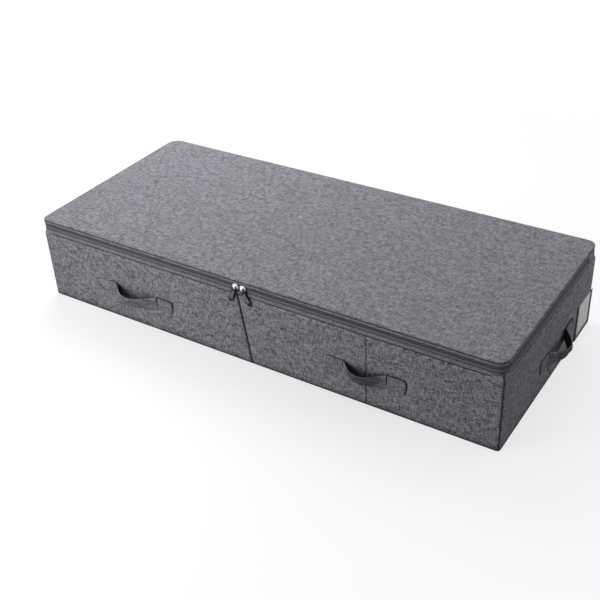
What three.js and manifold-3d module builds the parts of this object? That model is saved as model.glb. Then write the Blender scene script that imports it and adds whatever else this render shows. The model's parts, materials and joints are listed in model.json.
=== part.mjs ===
// Under-bed storage box: a long, low fabric box over stiff boards, with a zipped lid.
//
// Frame, in millimetres: X along the length, Y from the front (-) to the hinged back (+), Z up.
// The origin is the centre of the footprint, on the floor. "Left" and "right" are as seen from
// the front. Layers that are sewn or glued together on the real box stay CLEAR apart here.

import * as THREE from "three";
import { mergeVertices } from "three/addons/utils/BufferGeometryUtils.js";
import Module from "manifold-3d";

const wasm = await Module();
wasm.setup();

// ---------------------------------------------------------------- driving dimensions

const LENGTH = 1000;
const WIDTH = 430;
const HEIGHT = 180;

const CLEAR = 0.3; // air between neighbouring layers
const FABRIC = 1.5; // outer fabric with its backing
const BOARD = 3; // grey board in the walls, the lid and the base
const LINING = 0.8;

const LID_RADIUS = 20; // plan radius of the lid's corners
const TRAY_TOP = 147.2; // upper edge of the wall fabric
const PIPING = 3.5; // welt cord round the lid's edge
const SEAM = 3; // width of the corner and bottom bindings
const CREASES = [-500, -250, 0, 250, 500]; // where the long walls' boards meet

// Zip: two tapes with a row of coil each, parted by a slit for the sliders' necks.
const ZIP_Z = 165.5; // where the two rows of coil meet
const TAPE = 1.2; // zip tape with the fabric strip it is sewn to
const TAPE_IN = 0.8; // the tapes' faces, in from the envelope
const COIL_WIDE = 2.3;
const COIL_HIGH = 1.5;
const COIL_IN = 0.3;
const COIL_SPLIT = 1.6; // clear height between the rows
const ZIP_END_Y = 170; // the zip stops just short of the back corners
const REAR_BAND_Y = 175; // where the band at the back starts on each end
const STOP_LONG = 3; // metal stop at each end of the zip
const STOP_HIGH = 5.5;

// Sliders: an outer and an inner plate, a neck between them, and a crown for the pull.
const SLIDER_LONG = 14;
const SLIDER_HIGH = 12.5;
const SLIDER_CORNER = 3;
const LEFT_SLIDER_X = -17.5;
const RIGHT_SLIDER_X = -1.5;
const SLIDER_IN = 1.5; // the coil's centre line, in from the envelope
const OUTER_PLATE = 1.8;
const INNER_PLATE = 1.5;
const OUTER_PLATE_OUT = 1.8; // the outer plate's back, out from the coil's centre line
const INNER_PLATE_IN = 3.3; // the inner plate's back, in from the coil's centre line
const NECK_LONG = 4;
const CROWN_OUT = 4.6; // from the outer plate's face
const CROWN_WIDE = 2.4;
const CROWN_HIGH = 8;
const CROWN_BAR = 1;
const PIVOT_OUT = 1.7; // the pull's hinge line, out from the outer plate's face
const PIVOT_DROP = 1.3; // and below the coil's centre line

// Pull tabs: a square eye at the top, a waist below it and a round hole near the end.
const PULL_LONG = 34;
const PULL_THICK = 1.2;
const PULL_TOP = 0.6; // metal above the hinge line
const PULL_HALF = 4.6; // half widths at the eye, the waist and the rounded end
const PULL_WAIST = 3.2;
const PULL_END = 4.2;
const PULL_EYE = 6; // the eye's lower edge, below the hinge line
const PULL_RIM = 1.2; // metal round the eye
const PULL_HOLE = 1.8;
const LEFT_PULL_SPLAY = 23; // degrees away from hanging straight down
const RIGHT_PULL_SPLAY = 27;

// Handles: one strap each, sewn down at both ends and loose in the middle.
const HANDLE_LONG = 160; // over the two sewn ends
const HANDLE_HIGH = 28;
const HANDLE_TAPE = 1.2;
const HANDLE_TAB = 38; // length of a sewn end
const SHORT_TAB = 22; // the front left handle's outer sewn end
const HANDLE_BULGE = 27; // how far the loose middle stands off its hinge line
const SWING_OUT = 3.6; // the swing line, out from the wall
const STRAP_HALF = 1.5; // half the folded strap's thickness
const ROOT_HALF = 1; // half its height where it is gathered at the roots
const ROOT_GROWTH = 0.33; // half height gained per millimetre away from the wall
const ROOT_GAP = 2; // between a sewn end and the loose middle's root
const FRONT_HANDLE_X = [-257, 248];
const FRONT_HANDLE_Z = 68;
const END_HANDLE_Y = 31;
const END_HANDLE_Z = 60;

// Label pocket: a card behind a clear window, in a border that is open at the top.
const LABEL_Y = 174.5; // its centre on the right-hand end
const LABEL_Z = 41;
const LABEL_WIDE = 78;
const LABEL_HIGH = 77;
const LABEL_BORDER = 4.5;
const LABEL_SHEET = 0.4; // thickness of the card and of the window
const CARD_INSET = 3.5; // the card's and the window's edges, in from the border's
const WINDOW_INSET = 2;

// ---------------------------------------------------------------- derived places

const HALF_X = LENGTH / 2;
const HALF_Y = WIDTH / 2;
const FLOOR_TOP = FABRIC + CLEAR;
const BOARD_IN = FABRIC + CLEAR; // a wall board's outer face, in from the envelope
const LINING_IN = BOARD_IN + BOARD + CLEAR;
const WALL_IN = LINING_IN + LINING; // the whole wall's thickness

const LID_FABRIC_Z = HEIGHT - FABRIC;
const PIPING_Z = LID_FABRIC_Z - CLEAR - PIPING;
const RIM_TOP = PIPING_Z - CLEAR;
const LID_BOARD_Z = LID_FABRIC_Z - CLEAR - BOARD;
const LID_LINING_Z = LID_BOARD_Z - CLEAR - LINING;
const UPPER_COIL_Z = ZIP_Z + COIL_SPLIT / 2;
const LOWER_COIL_Z = ZIP_Z - COIL_SPLIT / 2 - COIL_HIGH;

// ---------------------------------------------------------------- materials

// Each mesh gets a material of its own from one of these finishes.
function finish(color, roughness, metalness = 0, opacity = 1) {
  return () =>
    new THREE.MeshStandardMaterial({
      color,
      roughness,
      metalness,
      opacity,
      transparent: opacity < 1,
    });
}

const linen = finish(0x6f7077, 0.95);
const webbing = finish(0x5c5d64, 0.95);
const tape = finish(0x4b4c52, 0.9);
const coil = finish(0x3a3b40, 0.6);
const lining = finish(0x5a5b60, 0.95);
const board = finish(0x8d8273, 0.9);
const nickel = finish(0xc9c9cc, 0.25, 1);
const gunmetal = finish(0x55565a, 0.35, 1);
const clearPvc = finish(0xd9dce0, 0.15, 0, 0.4);
const card = finish(0xd4d4d6, 0.8);

const boxGroup = new THREE.Group();

function add(name, geometry, makeMaterial, parent = boxGroup) {
  const mesh = new THREE.Mesh(geometry, makeMaterial());
  mesh.name = name;
  parent.add(mesh);
  return mesh;
}

// ---------------------------------------------------------------- shape helpers

function slab([x0, x1], [y0, y1], [z0, z1]) {
  const geometry = new THREE.BoxGeometry(x1 - x0, y1 - y0, z1 - z0);
  return geometry.translate((x0 + x1) / 2, (y0 + y1) / 2, (z0 + z1) / 2);
}

// A plan shape raised from z0 to z1.
function raise(shape, z0, z1) {
  const settings = { depth: z1 - z0, bevelEnabled: false, curveSegments: 8 };
  return new THREE.ExtrudeGeometry(shape, settings).translate(0, 0, z0);
}

// Rounded rectangle of the lid's plan, moved inwards by inset.
function lidOutline(inset, Path = THREE.Shape) {
  const x = HALF_X - inset;
  const y = HALF_Y - inset;
  const r = LID_RADIUS - inset;
  const path = new Path();
  path.moveTo(-x + r, -y);
  path.lineTo(x - r, -y);
  path.absarc(x - r, -y + r, r, -Math.PI / 2, 0);
  path.lineTo(x, y - r);
  path.absarc(x - r, y - r, r, 0, Math.PI / 2);
  path.lineTo(-x + r, y);
  path.absarc(-x + r, y - r, r, Math.PI / 2, Math.PI);
  path.lineTo(-x, -y + r);
  path.absarc(-x + r, -y + r, r, Math.PI, Math.PI * 1.5);
  return path;
}

// Closed ring that follows the lid's outline.
function lidRing(inset, thickness, z0, z1) {
  const shape = lidOutline(inset);
  shape.holes.push(lidOutline(inset + thickness, THREE.Path));
  return raise(shape, z0, z1);
}

// Strip that follows the lid's outline round three sides only: along both ends from
// endY, and across the front (side -1) or the back (side +1).
function lidStrip(inset, thickness, z0, z1, endY, side = -1) {
  const shape = new THREE.Shape();
  const outer = HALF_X - inset;
  const inner = outer - thickness;
  const corner = HALF_X - LID_RADIUS;
  const cornerY = HALF_Y - LID_RADIUS;
  const near = LID_RADIUS - inset;
  const far = near - thickness;
  // drawn as the front strip, with y turned over for the back one
  const flip = side < 0 ? 1 : -1;
  const arc = (cx, r, from, to) => {
    const clockwise = from > to !== flip < 0;
    shape.absarc(cx, -cornerY * flip, r, from * flip, to * flip, clockwise);
  };
  shape.moveTo(-outer, endY);
  shape.lineTo(-outer, -cornerY * flip);
  arc(-corner, near, -Math.PI, -Math.PI / 2);
  arc(corner, near, -Math.PI / 2, 0);
  shape.lineTo(outer, endY);
  shape.lineTo(inner, endY);
  arc(corner, far, 0, -Math.PI / 2);
  arc(-corner, far, -Math.PI / 2, -Math.PI);
  shape.lineTo(-inner, endY);
  return raise(shape, z0, z1);
}

// Closed ribbon with a rectangular section. Each station gives the section's centre, the
// unit vector out of its face, half its height along Z and half its thickness.
function ribbon(stations) {
  const points = stations.flatMap(({ centre, out, high, thick }) =>
    [[-1, -1], [1, -1], [1, 1], [-1, 1]].map(([a, b]) =>
      centre.clone().addScaledVector(out, a * thick).add(new THREE.Vector3(0, 0, b * high)),
    ),
  );
  const faces = [[0, 2, 1], [0, 3, 2]];
  const last = 4 * (stations.length - 1);
  faces.push([last, last + 1, last + 2], [last, last + 2, last + 3]);
  for (let s = 0; s < last; s += 4)
    for (let i = 0; i < 4; i++) {
      const j = (i + 1) % 4;
      faces.push([s + i, s + j, s + 4 + j], [s + i, s + 4 + j, s + 4 + i]);
    }
  const geometry = new THREE.BufferGeometry().setFromPoints(points);
  return geometry.setIndex(faces.flat());
}

function toManifold(geometry) {
  const bare = geometry.clone();
  bare.deleteAttribute("normal");
  bare.deleteAttribute("uv");
  const merged = mergeVertices(bare);
  return new wasm.Manifold(
    new wasm.Mesh({
      numProp: 3,
      vertProperties: merged.attributes.position.array,
      triVerts: new Uint32Array(merged.index.array),
    }),
  );
}

function join(...geometries) {
  const solid = geometries.map(toManifold).reduce((a, b) => a.add(b));
  const mesh = solid.getMesh();
  return new THREE.BufferGeometry()
    .setAttribute("position", new THREE.BufferAttribute(mesh.vertProperties, 3))
    .setIndex(new THREE.BufferAttribute(mesh.triVerts, 1));
}

// ---------------------------------------------------------------- tray: walls and base

const SIDES = { front: -1, back: 1 };
const ENDS = { left: -1, right: 1 };

// Turns distances in from the envelope into an ascending range on one side of an axis.
function inward(half, side, near, thickness) {
  const a = side * (half - near);
  const b = side * (half - near - thickness);
  return [Math.min(a, b), Math.max(a, b)];
}

function addLongWalls() {
  const fabricX = HALF_X - SEAM - CLEAR;
  const boardX = HALF_X - SEAM - 1;
  const liningX = HALF_X - LINING_IN;
  for (const [wall, side] of Object.entries(SIDES)) {
    const fabricY = inward(HALF_Y, side, 0, FABRIC);
    const z = [SEAM + CLEAR, TRAY_TOP];
    add(`${wall}_fabric_left`, slab([-fabricX, -CLEAR], fabricY, z), linen);
    add(`${wall}_fabric_right`, slab([CLEAR, fabricX], fabricY, z), linen);
    for (let i = 0; i < CREASES.length - 1; i++) {
      const x0 = Math.max(CREASES[i] + CLEAR, -boardX);
      const x1 = Math.min(CREASES[i + 1] - CLEAR, boardX);
      const boardY = inward(HALF_Y, side, BOARD_IN, BOARD);
      add(`${wall}_board_${i + 1}`, slab([x0, x1], boardY, [FLOOR_TOP, TRAY_TOP - 1]), board);
    }
    const liningY = inward(HALF_Y, side, LINING_IN, LINING);
    add(`${wall}_lining`, slab([-liningX, liningX], liningY, [FLOOR_TOP, TRAY_TOP]), lining);
  }
}

function addEndWalls() {
  const fabricY = HALF_Y - SEAM - CLEAR;
  const boardY = HALF_Y - BOARD_IN - BOARD - CLEAR;
  const liningY = HALF_Y - WALL_IN - CLEAR;
  for (const [end, side] of Object.entries(ENDS)) {
    const span = (half, x, z) => slab(x, [-half, half], z);
    const fabricX = inward(HALF_X, side, 0, FABRIC);
    const boardX = inward(HALF_X, side, BOARD_IN, BOARD);
    const liningX = inward(HALF_X, side, LINING_IN, LINING);
    add(`${end}_end_fabric`, span(fabricY, fabricX, [SEAM + CLEAR, TRAY_TOP]), linen);
    add(`${end}_end_board`, span(boardY, boardX, [FLOOR_TOP, TRAY_TOP - 1]), board);
    add(`${end}_end_lining`, span(liningY, liningX, [FLOOR_TOP, TRAY_TOP]), lining);
  }
}

// Upright seam cord in each corner of the tray: square inside, rounded outside.
function addCornerSeams() {
  const shape = new THREE.Shape();
  shape.moveTo(0, 0);
  shape.lineTo(-SEAM, 0);
  shape.lineTo(-SEAM, -SEAM / 2);
  shape.absarc(-SEAM / 2, -SEAM / 2, SEAM / 2, Math.PI, Math.PI * 1.5);
  shape.lineTo(0, -SEAM);
  const turns = { front_left: 0, front_right: 1, back_right: 2, back_left: 3 };
  for (const [corner, quarter] of Object.entries(turns)) {
    const seam = add(
      `${corner}_corner_seam`,
      raise(shape, SEAM + CLEAR, TRAY_TOP),
      tape,
    );
    const x = corner.endsWith("left") ? -1 : 1;
    const y = corner.startsWith("front") ? -1 : 1;
    seam.rotation.z = (quarter * Math.PI) / 2;
    seam.position.set(x * (HALF_X - SEAM), y * (HALF_Y - SEAM), 0);
  }
}

function addBase() {
  const frame = new THREE.Shape();
  const hole = new THREE.Path();
  const outline = (path, x, y) => {
    path.moveTo(-x, -y);
    path.lineTo(x, -y);
    path.lineTo(x, y);
    path.lineTo(-x, y);
  };
  outline(frame, HALF_X, HALF_Y);
  outline(hole, HALF_X - SEAM, HALF_Y - SEAM);
  frame.holes.push(hole);
  const x = HALF_X - SEAM - CLEAR;
  const y = HALF_Y - SEAM - CLEAR;
  add("bottom_binding", raise(frame, 0, FABRIC), tape);
  add("bottom_fabric", slab([-x, x], [-y, y], [0, FABRIC]), linen);
  const baseX = HALF_X - WALL_IN - 2 * CLEAR;
  const baseY = HALF_Y - WALL_IN - 2 * CLEAR;
  const baseZ = [FLOOR_TOP, FLOOR_TOP + BOARD + 2 * CLEAR];
  add("base_board_left", slab([-baseX, -CLEAR], [-baseY, baseY], baseZ), lining);
  add("base_board_right", slab([CLEAR, baseX], [-baseY, baseY], baseZ), lining);
}

// ---------------------------------------------------------------- zip

function addZip() {
  const lowerTape = [TRAY_TOP + CLEAR, LOWER_COIL_Z - CLEAR];
  const upperTape = [UPPER_COIL_Z + COIL_HIGH + CLEAR, RIM_TOP];
  const lowerCoil = [LOWER_COIL_Z, LOWER_COIL_Z + COIL_HIGH];
  const upperCoil = [UPPER_COIL_Z, UPPER_COIL_Z + COIL_HIGH];
  add("lower_zip_tape", lidStrip(TAPE_IN, TAPE, ...lowerTape, ZIP_END_Y), tape);
  add("upper_zip_tape", lidStrip(TAPE_IN, TAPE, ...upperTape, ZIP_END_Y), tape);
  add("lower_zip_coil", lidStrip(COIL_IN, COIL_WIDE, ...lowerCoil, ZIP_END_Y), coil);
  add("upper_zip_coil", lidStrip(COIL_IN, COIL_WIDE, ...upperCoil, ZIP_END_Y), coil);

  // the back of the rim has no zip: a plain band closes it and carries the lid
  const bandZ = [TRAY_TOP + CLEAR, RIM_TOP];
  add("rear_band", lidStrip(0, FABRIC, ...bandZ, REAR_BAND_Y, 1), linen);

  // a folded metal stop closes each end of the zip
  for (const [end, side] of Object.entries(ENDS)) {
    const x = inward(HALF_X, side, 0, STOP_LONG);
    const y = [ZIP_END_Y + CLEAR, ZIP_END_Y + CLEAR + STOP_LONG];
    const z = [ZIP_Z - STOP_HIGH / 2, ZIP_Z + STOP_HIGH / 2];
    add(`${end}_zip_stop`, slab(x, y, z), nickel);
  }
}

// Slider in its own frame: origin on the coil's centre line, X along the zip, -Y outwards.
function sliderPlate(thickness) {
  const x = SLIDER_LONG / 2;
  const z = SLIDER_HIGH / 2;
  const cut = SLIDER_CORNER;
  const shape = new THREE.Shape();
  shape.moveTo(-x + cut, -z);
  shape.lineTo(x - cut, -z);
  shape.quadraticCurveTo(x, -z, x, -z + cut);
  shape.lineTo(x, z - cut);
  shape.quadraticCurveTo(x, z, x - cut, z);
  shape.lineTo(-x + cut, z);
  shape.quadraticCurveTo(-x, z, -x, z - cut);
  shape.lineTo(-x, -z + cut);
  shape.quadraticCurveTo(-x, -z, -x + cut, -z);
  const settings = { depth: thickness, bevelEnabled: false, curveSegments: 4 };
  return new THREE.ExtrudeGeometry(shape, settings).rotateX(Math.PI / 2);
}

const OUTER_FACE_Y = -OUTER_PLATE_OUT - OUTER_PLATE;

function sliderBody() {
  const outer = sliderPlate(OUTER_PLATE).translate(0, -OUTER_PLATE_OUT, 0);
  const inner = sliderPlate(INNER_PLATE).translate(0, INNER_PLATE_IN, 0);
  const neckX = NECK_LONG / 2;
  const neckZ = COIL_SPLIT / 2 - CLEAR;
  const neckY = [-OUTER_PLATE_OUT - OUTER_PLATE / 2, INNER_PLATE_IN - INNER_PLATE / 2];
  const neck = slab([-neckX, neckX], neckY, [-neckZ, neckZ]);
  const x = [-CROWN_WIDE / 2, CROWN_WIDE / 2];
  const z = CROWN_HIGH / 2;
  const top = OUTER_FACE_Y - CROWN_OUT;
  const legY = [top, OUTER_FACE_Y + OUTER_PLATE / 2];
  const upper = slab(x, legY, [z - CROWN_BAR, z]);
  const lower = slab(x, legY, [-z, -z + CROWN_BAR]);
  const bridge = slab(x, [top, top + CROWN_BAR], [-z, z]);
  return join(outer, inner, neck, upper, lower, bridge);
}

// Pull tab in its own frame: origin on the hinge line, hanging along -Z, flat across Y.
function pullTab() {
  const endZ = -PULL_LONG + PULL_END;
  const eyeX = PULL_HALF - PULL_RIM;
  const eyeFoot = -PULL_EYE - PULL_RIM;
  const shape = new THREE.Shape();
  shape.moveTo(-PULL_HALF, PULL_TOP);
  shape.lineTo(-PULL_HALF, eyeFoot);
  shape.lineTo(-PULL_WAIST, eyeFoot - PULL_WAIST);
  shape.lineTo(-PULL_END, endZ);
  shape.absarc(0, endZ, PULL_END, Math.PI, Math.PI * 2);
  shape.lineTo(PULL_WAIST, eyeFoot - PULL_WAIST);
  shape.lineTo(PULL_HALF, eyeFoot);
  shape.lineTo(PULL_HALF, PULL_TOP);
  const eye = new THREE.Path();
  eye.moveTo(-eyeX, -PULL_TOP);
  eye.lineTo(eyeX, -PULL_TOP);
  eye.lineTo(eyeX, -PULL_EYE);
  eye.lineTo(-eyeX, -PULL_EYE);
  const hole = new THREE.Path();
  hole.absarc(0, endZ, PULL_HOLE, 0, Math.PI * 2);
  shape.holes.push(eye, hole);
  const settings = { depth: PULL_THICK, bevelEnabled: false, curveSegments: 6 };
  return new THREE.ExtrudeGeometry(shape, settings)
    .translate(0, 0, -PULL_THICK / 2)
    .rotateX(Math.PI / 2);
}

function addSlider(side, x, splay) {
  const slider = new THREE.Group();
  slider.position.set(x, -HALF_Y + SLIDER_IN, ZIP_Z);
  boxGroup.add(slider);
  add(`${side}_slider_body`, sliderBody(), nickel, slider);
  const hinge = new THREE.Group();
  hinge.position.set(0, OUTER_FACE_Y - PIVOT_OUT, -PIVOT_DROP);
  hinge.rotation.y = THREE.MathUtils.degToRad(splay);
  slider.add(hinge);
  add(`${side}_pull_tab`, pullTab(), gunmetal, hinge);
}

// ---------------------------------------------------------------- lid

function addLid() {
  const inset = PIPING + CLEAR;
  add("lid_fabric", raise(lidOutline(0.5), LID_FABRIC_Z, HEIGHT), linen);
  add("lid_piping", lidRing(0, PIPING, PIPING_Z, PIPING_Z + PIPING), linen);
  add("lid_lining", raise(lidOutline(inset), LID_LINING_Z, LID_LINING_Z + LINING), lining);

  // the stiffener is in two halves, so that the lid folds across its middle
  const x = HALF_X - inset;
  const y = HALF_Y - inset;
  const r = LID_RADIUS - inset;
  const quarter = Math.PI / 2;
  const right = new THREE.Shape();
  right.moveTo(CLEAR, -y);
  right.lineTo(x - r, -y);
  right.absarc(x - r, -y + r, r, -quarter, 0);
  right.lineTo(x, y - r);
  right.absarc(x - r, y - r, r, 0, quarter);
  right.lineTo(CLEAR, y);
  const halfBoard = () => raise(right, LID_BOARD_Z, LID_BOARD_Z + BOARD);
  add("lid_board_right", halfBoard(), board);
  const left = add("lid_board_left", halfBoard().translate(0, 0, -LID_BOARD_Z), board);
  left.rotation.z = Math.PI;
  left.position.z = LID_BOARD_Z;
}

// ---------------------------------------------------------------- handles

// Handle in its own frame: origin on the wall, the strap along X, -Y outwards. Its ends
// are sewn flat; the loose middle is a ribbon that swings about a line through its roots.
function gripRibbon(start, end) {
  const middle = (start + end) / 2;
  const reach = (end - start) / 2 - ROOT_GAP;
  const arch = new THREE.EllipseCurve(middle, 0, reach, HANDLE_BULGE, Math.PI, 2 * Math.PI);
  const steps = 24;
  const stations = [];
  for (let i = 0; i <= steps; i++) {
    const point = arch.getPoint(i / steps);
    const tangent = arch.getTangent(i / steps);
    stations.push({
      centre: new THREE.Vector3(point.x, point.y, 0),
      out: new THREE.Vector3(-tangent.y, tangent.x, 0),
      high: ROOT_HALF - ROOT_GROWTH * point.y,
      thick: STRAP_HALF,
    });
  }
  return ribbon(stations);
}

function addHandle(name, place, turn, firstTab = HANDLE_TAB) {
  const handle = new THREE.Group();
  handle.position.copy(place);
  handle.rotation.z = turn;
  boxGroup.add(handle);
  const outer = HANDLE_LONG / 2;
  const start = -outer + firstTab;
  const end = outer - HANDLE_TAB;
  const y = [-CLEAR - HANDLE_TAPE, -CLEAR];
  const z = [-HANDLE_HIGH / 2, HANDLE_HIGH / 2];
  add(`${name}_tab_a`, slab([-outer, start], y, z), webbing, handle);
  add(`${name}_tab_b`, slab([end, outer], y, z), webbing, handle);
  const grip = add(`${name}_grip`, gripRibbon(start, end), webbing, handle);
  grip.position.y = -SWING_OUT;
}

function addHandles() {
  const [leftX, rightX] = FRONT_HANDLE_X;
  const front = (x) => new THREE.Vector3(x, -HALF_Y, FRONT_HANDLE_Z);
  const end = (side) => new THREE.Vector3(side * HALF_X, END_HANDLE_Y, END_HANDLE_Z);
  addHandle("front_left_handle", front(leftX), 0, SHORT_TAB);
  addHandle("front_right_handle", front(rightX), 0);
  addHandle("left_end_handle", end(-1), -Math.PI / 2);
  addHandle("right_end_handle", end(1), Math.PI / 2);
}

// ---------------------------------------------------------------- label pocket

function addLabelPocket() {
  const y = LABEL_WIDE / 2;
  const z = LABEL_HIGH / 2;
  const cardX = HALF_X + CLEAR;
  const windowX = cardX + LABEL_SHEET + CLEAR;
  const borderX = windowX + LABEL_SHEET + CLEAR;
  const sheet = (x, inset) =>
    slab(
      [x, x + LABEL_SHEET],
      [LABEL_Y - y + inset, LABEL_Y + y - inset],
      [LABEL_Z - z + inset, LABEL_Z + z - inset],
    );
  add("label_card", sheet(cardX, CARD_INSET), card);
  add("label_window", sheet(windowX, WINDOW_INSET), clearPvc);

  const innerY = y - LABEL_BORDER;
  const innerZ = -z + LABEL_BORDER;
  const shape = new THREE.Shape();
  shape.moveTo(-y, z);
  shape.lineTo(-y, -z);
  shape.lineTo(y, -z);
  shape.lineTo(y, z);
  shape.lineTo(innerY, z);
  shape.lineTo(innerY, innerZ);
  shape.lineTo(-innerY, innerZ);
  shape.lineTo(-innerY, z);
  // stood up on the end wall: the shape's x along Y, its y along Z, its thickness along X
  const frame = raise(shape, 0, LINING).rotateX(Math.PI / 2).rotateZ(Math.PI / 2);
  const border = add("label_pocket_border", frame, tape);
  border.position.set(borderX, LABEL_Y, LABEL_Z);
}

// ---------------------------------------------------------------- assembly

addLongWalls();
addEndWalls();
addCornerSeams();
addBase();
addZip();
addSlider("left", LEFT_SLIDER_X, LEFT_PULL_SPLAY);
addSlider("right", RIGHT_SLIDER_X, -RIGHT_PULL_SPLAY);
addLid();
addHandles();
addLabelPocket();

export default boxGroup;
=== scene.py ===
"""Looks of the under-bed storage box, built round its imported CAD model.

Lengths are in metres in the CAD frame: X along the box, -Y its front, Z up. Sizes that are
easier to read in millimetres are written as a number times MM. Every sewn piece is a sheet of
quads laid on the box's outline, and its "weave" UV map is in metres of cloth.
"""

import json
import math
from contextlib import contextmanager

import bmesh
import bpy
import numpy as np
from mathutils import Matrix, Vector, noise


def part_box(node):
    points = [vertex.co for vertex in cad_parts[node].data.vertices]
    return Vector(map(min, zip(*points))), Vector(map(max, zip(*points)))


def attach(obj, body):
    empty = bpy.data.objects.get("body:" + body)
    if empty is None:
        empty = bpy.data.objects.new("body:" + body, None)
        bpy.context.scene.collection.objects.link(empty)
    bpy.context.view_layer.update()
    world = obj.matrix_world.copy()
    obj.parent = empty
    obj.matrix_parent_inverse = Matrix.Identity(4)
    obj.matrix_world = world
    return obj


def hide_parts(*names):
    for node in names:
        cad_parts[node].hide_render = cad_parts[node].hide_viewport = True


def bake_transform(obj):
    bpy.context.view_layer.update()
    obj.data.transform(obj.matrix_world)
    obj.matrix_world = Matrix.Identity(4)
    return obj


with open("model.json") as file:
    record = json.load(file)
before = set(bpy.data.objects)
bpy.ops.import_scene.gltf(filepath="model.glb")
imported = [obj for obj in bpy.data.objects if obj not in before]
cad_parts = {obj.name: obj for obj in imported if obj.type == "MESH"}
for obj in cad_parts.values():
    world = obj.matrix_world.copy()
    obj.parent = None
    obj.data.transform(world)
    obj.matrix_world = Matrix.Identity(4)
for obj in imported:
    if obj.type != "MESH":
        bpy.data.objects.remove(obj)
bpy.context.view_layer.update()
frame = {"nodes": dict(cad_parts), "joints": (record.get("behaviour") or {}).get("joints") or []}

MM = 0.001

# --- places from the frame

BASE_LOW, BASE_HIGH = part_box("bottom_binding")
HALF_X = BASE_HIGH.x
HALF_Y = BASE_HIGH.y
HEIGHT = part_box("lid_fabric")[1].z
WALL_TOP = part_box("front_fabric_left")[1].z
COIL_Z = (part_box("lower_zip_coil")[1].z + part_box("upper_zip_coil")[0].z) / 2
ZIP_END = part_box("lower_zip_tape")[1].y
BAND_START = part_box("rear_band")[0].y
PIPING_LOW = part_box("lid_piping")[0]
FOLD_LINE = PIPING_LOW.z - 1.2 * MM  # the rear band's upper edge, where the lid bends

DENSE_GAPS = [gap * MM for gap in (0.5, 1.1, 1.8, 2.7, 3.8)]  # extra places beside a seam
CLOSEST = 0.35 * MM  # two rows of points never lie closer than this
CLOTH = 1.0 * MM  # thickness of the walls' cloth
CLOTH_OUT = 0.7 * MM  # the wall's cloth swells this far beyond the envelope
WALL_RADIUS = 6 * MM  # plan radius of the tray's corners, below the zip
# The lid's corners are cut alike but have slumped differently.
LID_CORNERS = {
    "front_left": 11 * MM,
    "front_right": 22 * MM,
    "back_right": 18 * MM,
    "back_left": 25 * MM,
}

# Each side of the box: the direction of travel, the way out, half its length, the distance of
# its face from the centre. Together they run anticlockwise seen from above.
SIDES = {
    "front": (Vector((1, 0, 0)), Vector((0, -1, 0)), HALF_X, HALF_Y),
    "right": (Vector((0, 1, 0)), Vector((1, 0, 0)), HALF_Y, HALF_X),
    "back": (Vector((-1, 0, 0)), Vector((0, 1, 0)), HALF_X, HALF_Y),
    "left": (Vector((0, -1, 0)), Vector((-1, 0, 0)), HALF_Y, HALF_X),
}
# The four corners, each with the side that ends there and the side that starts there.
CORNERS = {
    "front_right": ("front", "right"),
    "back_right": ("right", "back"),
    "back_left": ("back", "left"),
    "front_left": ("left", "front"),
}


def corner_radius(side, along, level):
    """Radius of the corner nearest to along: the tray's at level 0, the lid's at level 1."""
    corner = next(name for name, meet in CORNERS.items() if meet[0 if along > 0 else 1] == side)
    return WALL_RADIUS + (LID_CORNERS[corner] - WALL_RADIUS) * level


def outline(side, along, level):
    """Point and outward normal of the rounded outline. along runs over the sharp side, and
    its last stretch of one radius is wrapped onto half of the corner's arc."""
    travel, out, half, face = SIDES[side]
    radius = corner_radius(side, along, level)
    over = abs(along) - (half - radius)
    if over <= 0:
        return travel * along + out * face, out.copy()
    turn = min(over / radius, 1) * math.pi / 4
    sign = math.copysign(1, along)
    run = sign * (half - radius + radius * math.sin(turn))
    point = travel * run + out * (face - radius * (1 - math.cos(turn)))
    return point, travel * (sign * math.sin(turn)) + out * math.cos(turn)


def smooth(t):
    t = min(max(t, 0), 1)
    return t * t * (3 - 2 * t)


def wobble(point, size, seed=0.0):
    """Smooth noise from -1 to 1 with features of about size."""
    return noise.noise(Vector(point) / size + Vector((seed, seed * 1.7, 0)))


def ticks(start, end, step, dense=()):
    """Places from start to end about step apart, with extra ones close to those in dense."""
    count = max(1, round(abs(end - start) / step))
    places = [start + (end - start) * i / count for i in range(count + 1)]
    for spot in dense:
        for gap in DENSE_GAPS:
            places += [spot - gap, spot + gap]
    low, high = min(start, end), max(start, end)
    kept = sorted({round(p, 6) for p in places if low <= p <= high}, reverse=start > end)
    thin = [kept[0]]
    for place_at in kept[1:]:
        if abs(place_at - thin[-1]) > CLOSEST:
            thin.append(place_at)
    return thin


# --- mesh helpers


def middle_and_half(node):
    """Centre and half size of a CAD node's box."""
    low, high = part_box(node)
    return (low + high) / 2, (high - low) / 2


def joint_place(name):
    """Position and axis of a joint at rest."""
    joint = next(joint for joint in frame["joints"] if joint["name"] == name)
    return Vector(joint["pos_m"]), Vector(joint["axis"])


def make_object(name, mesh):
    obj = bpy.data.objects.new(name, mesh)
    bpy.context.scene.collection.objects.link(obj)
    for polygon in mesh.polygons:
        polygon.use_smooth = True
    return obj


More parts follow.
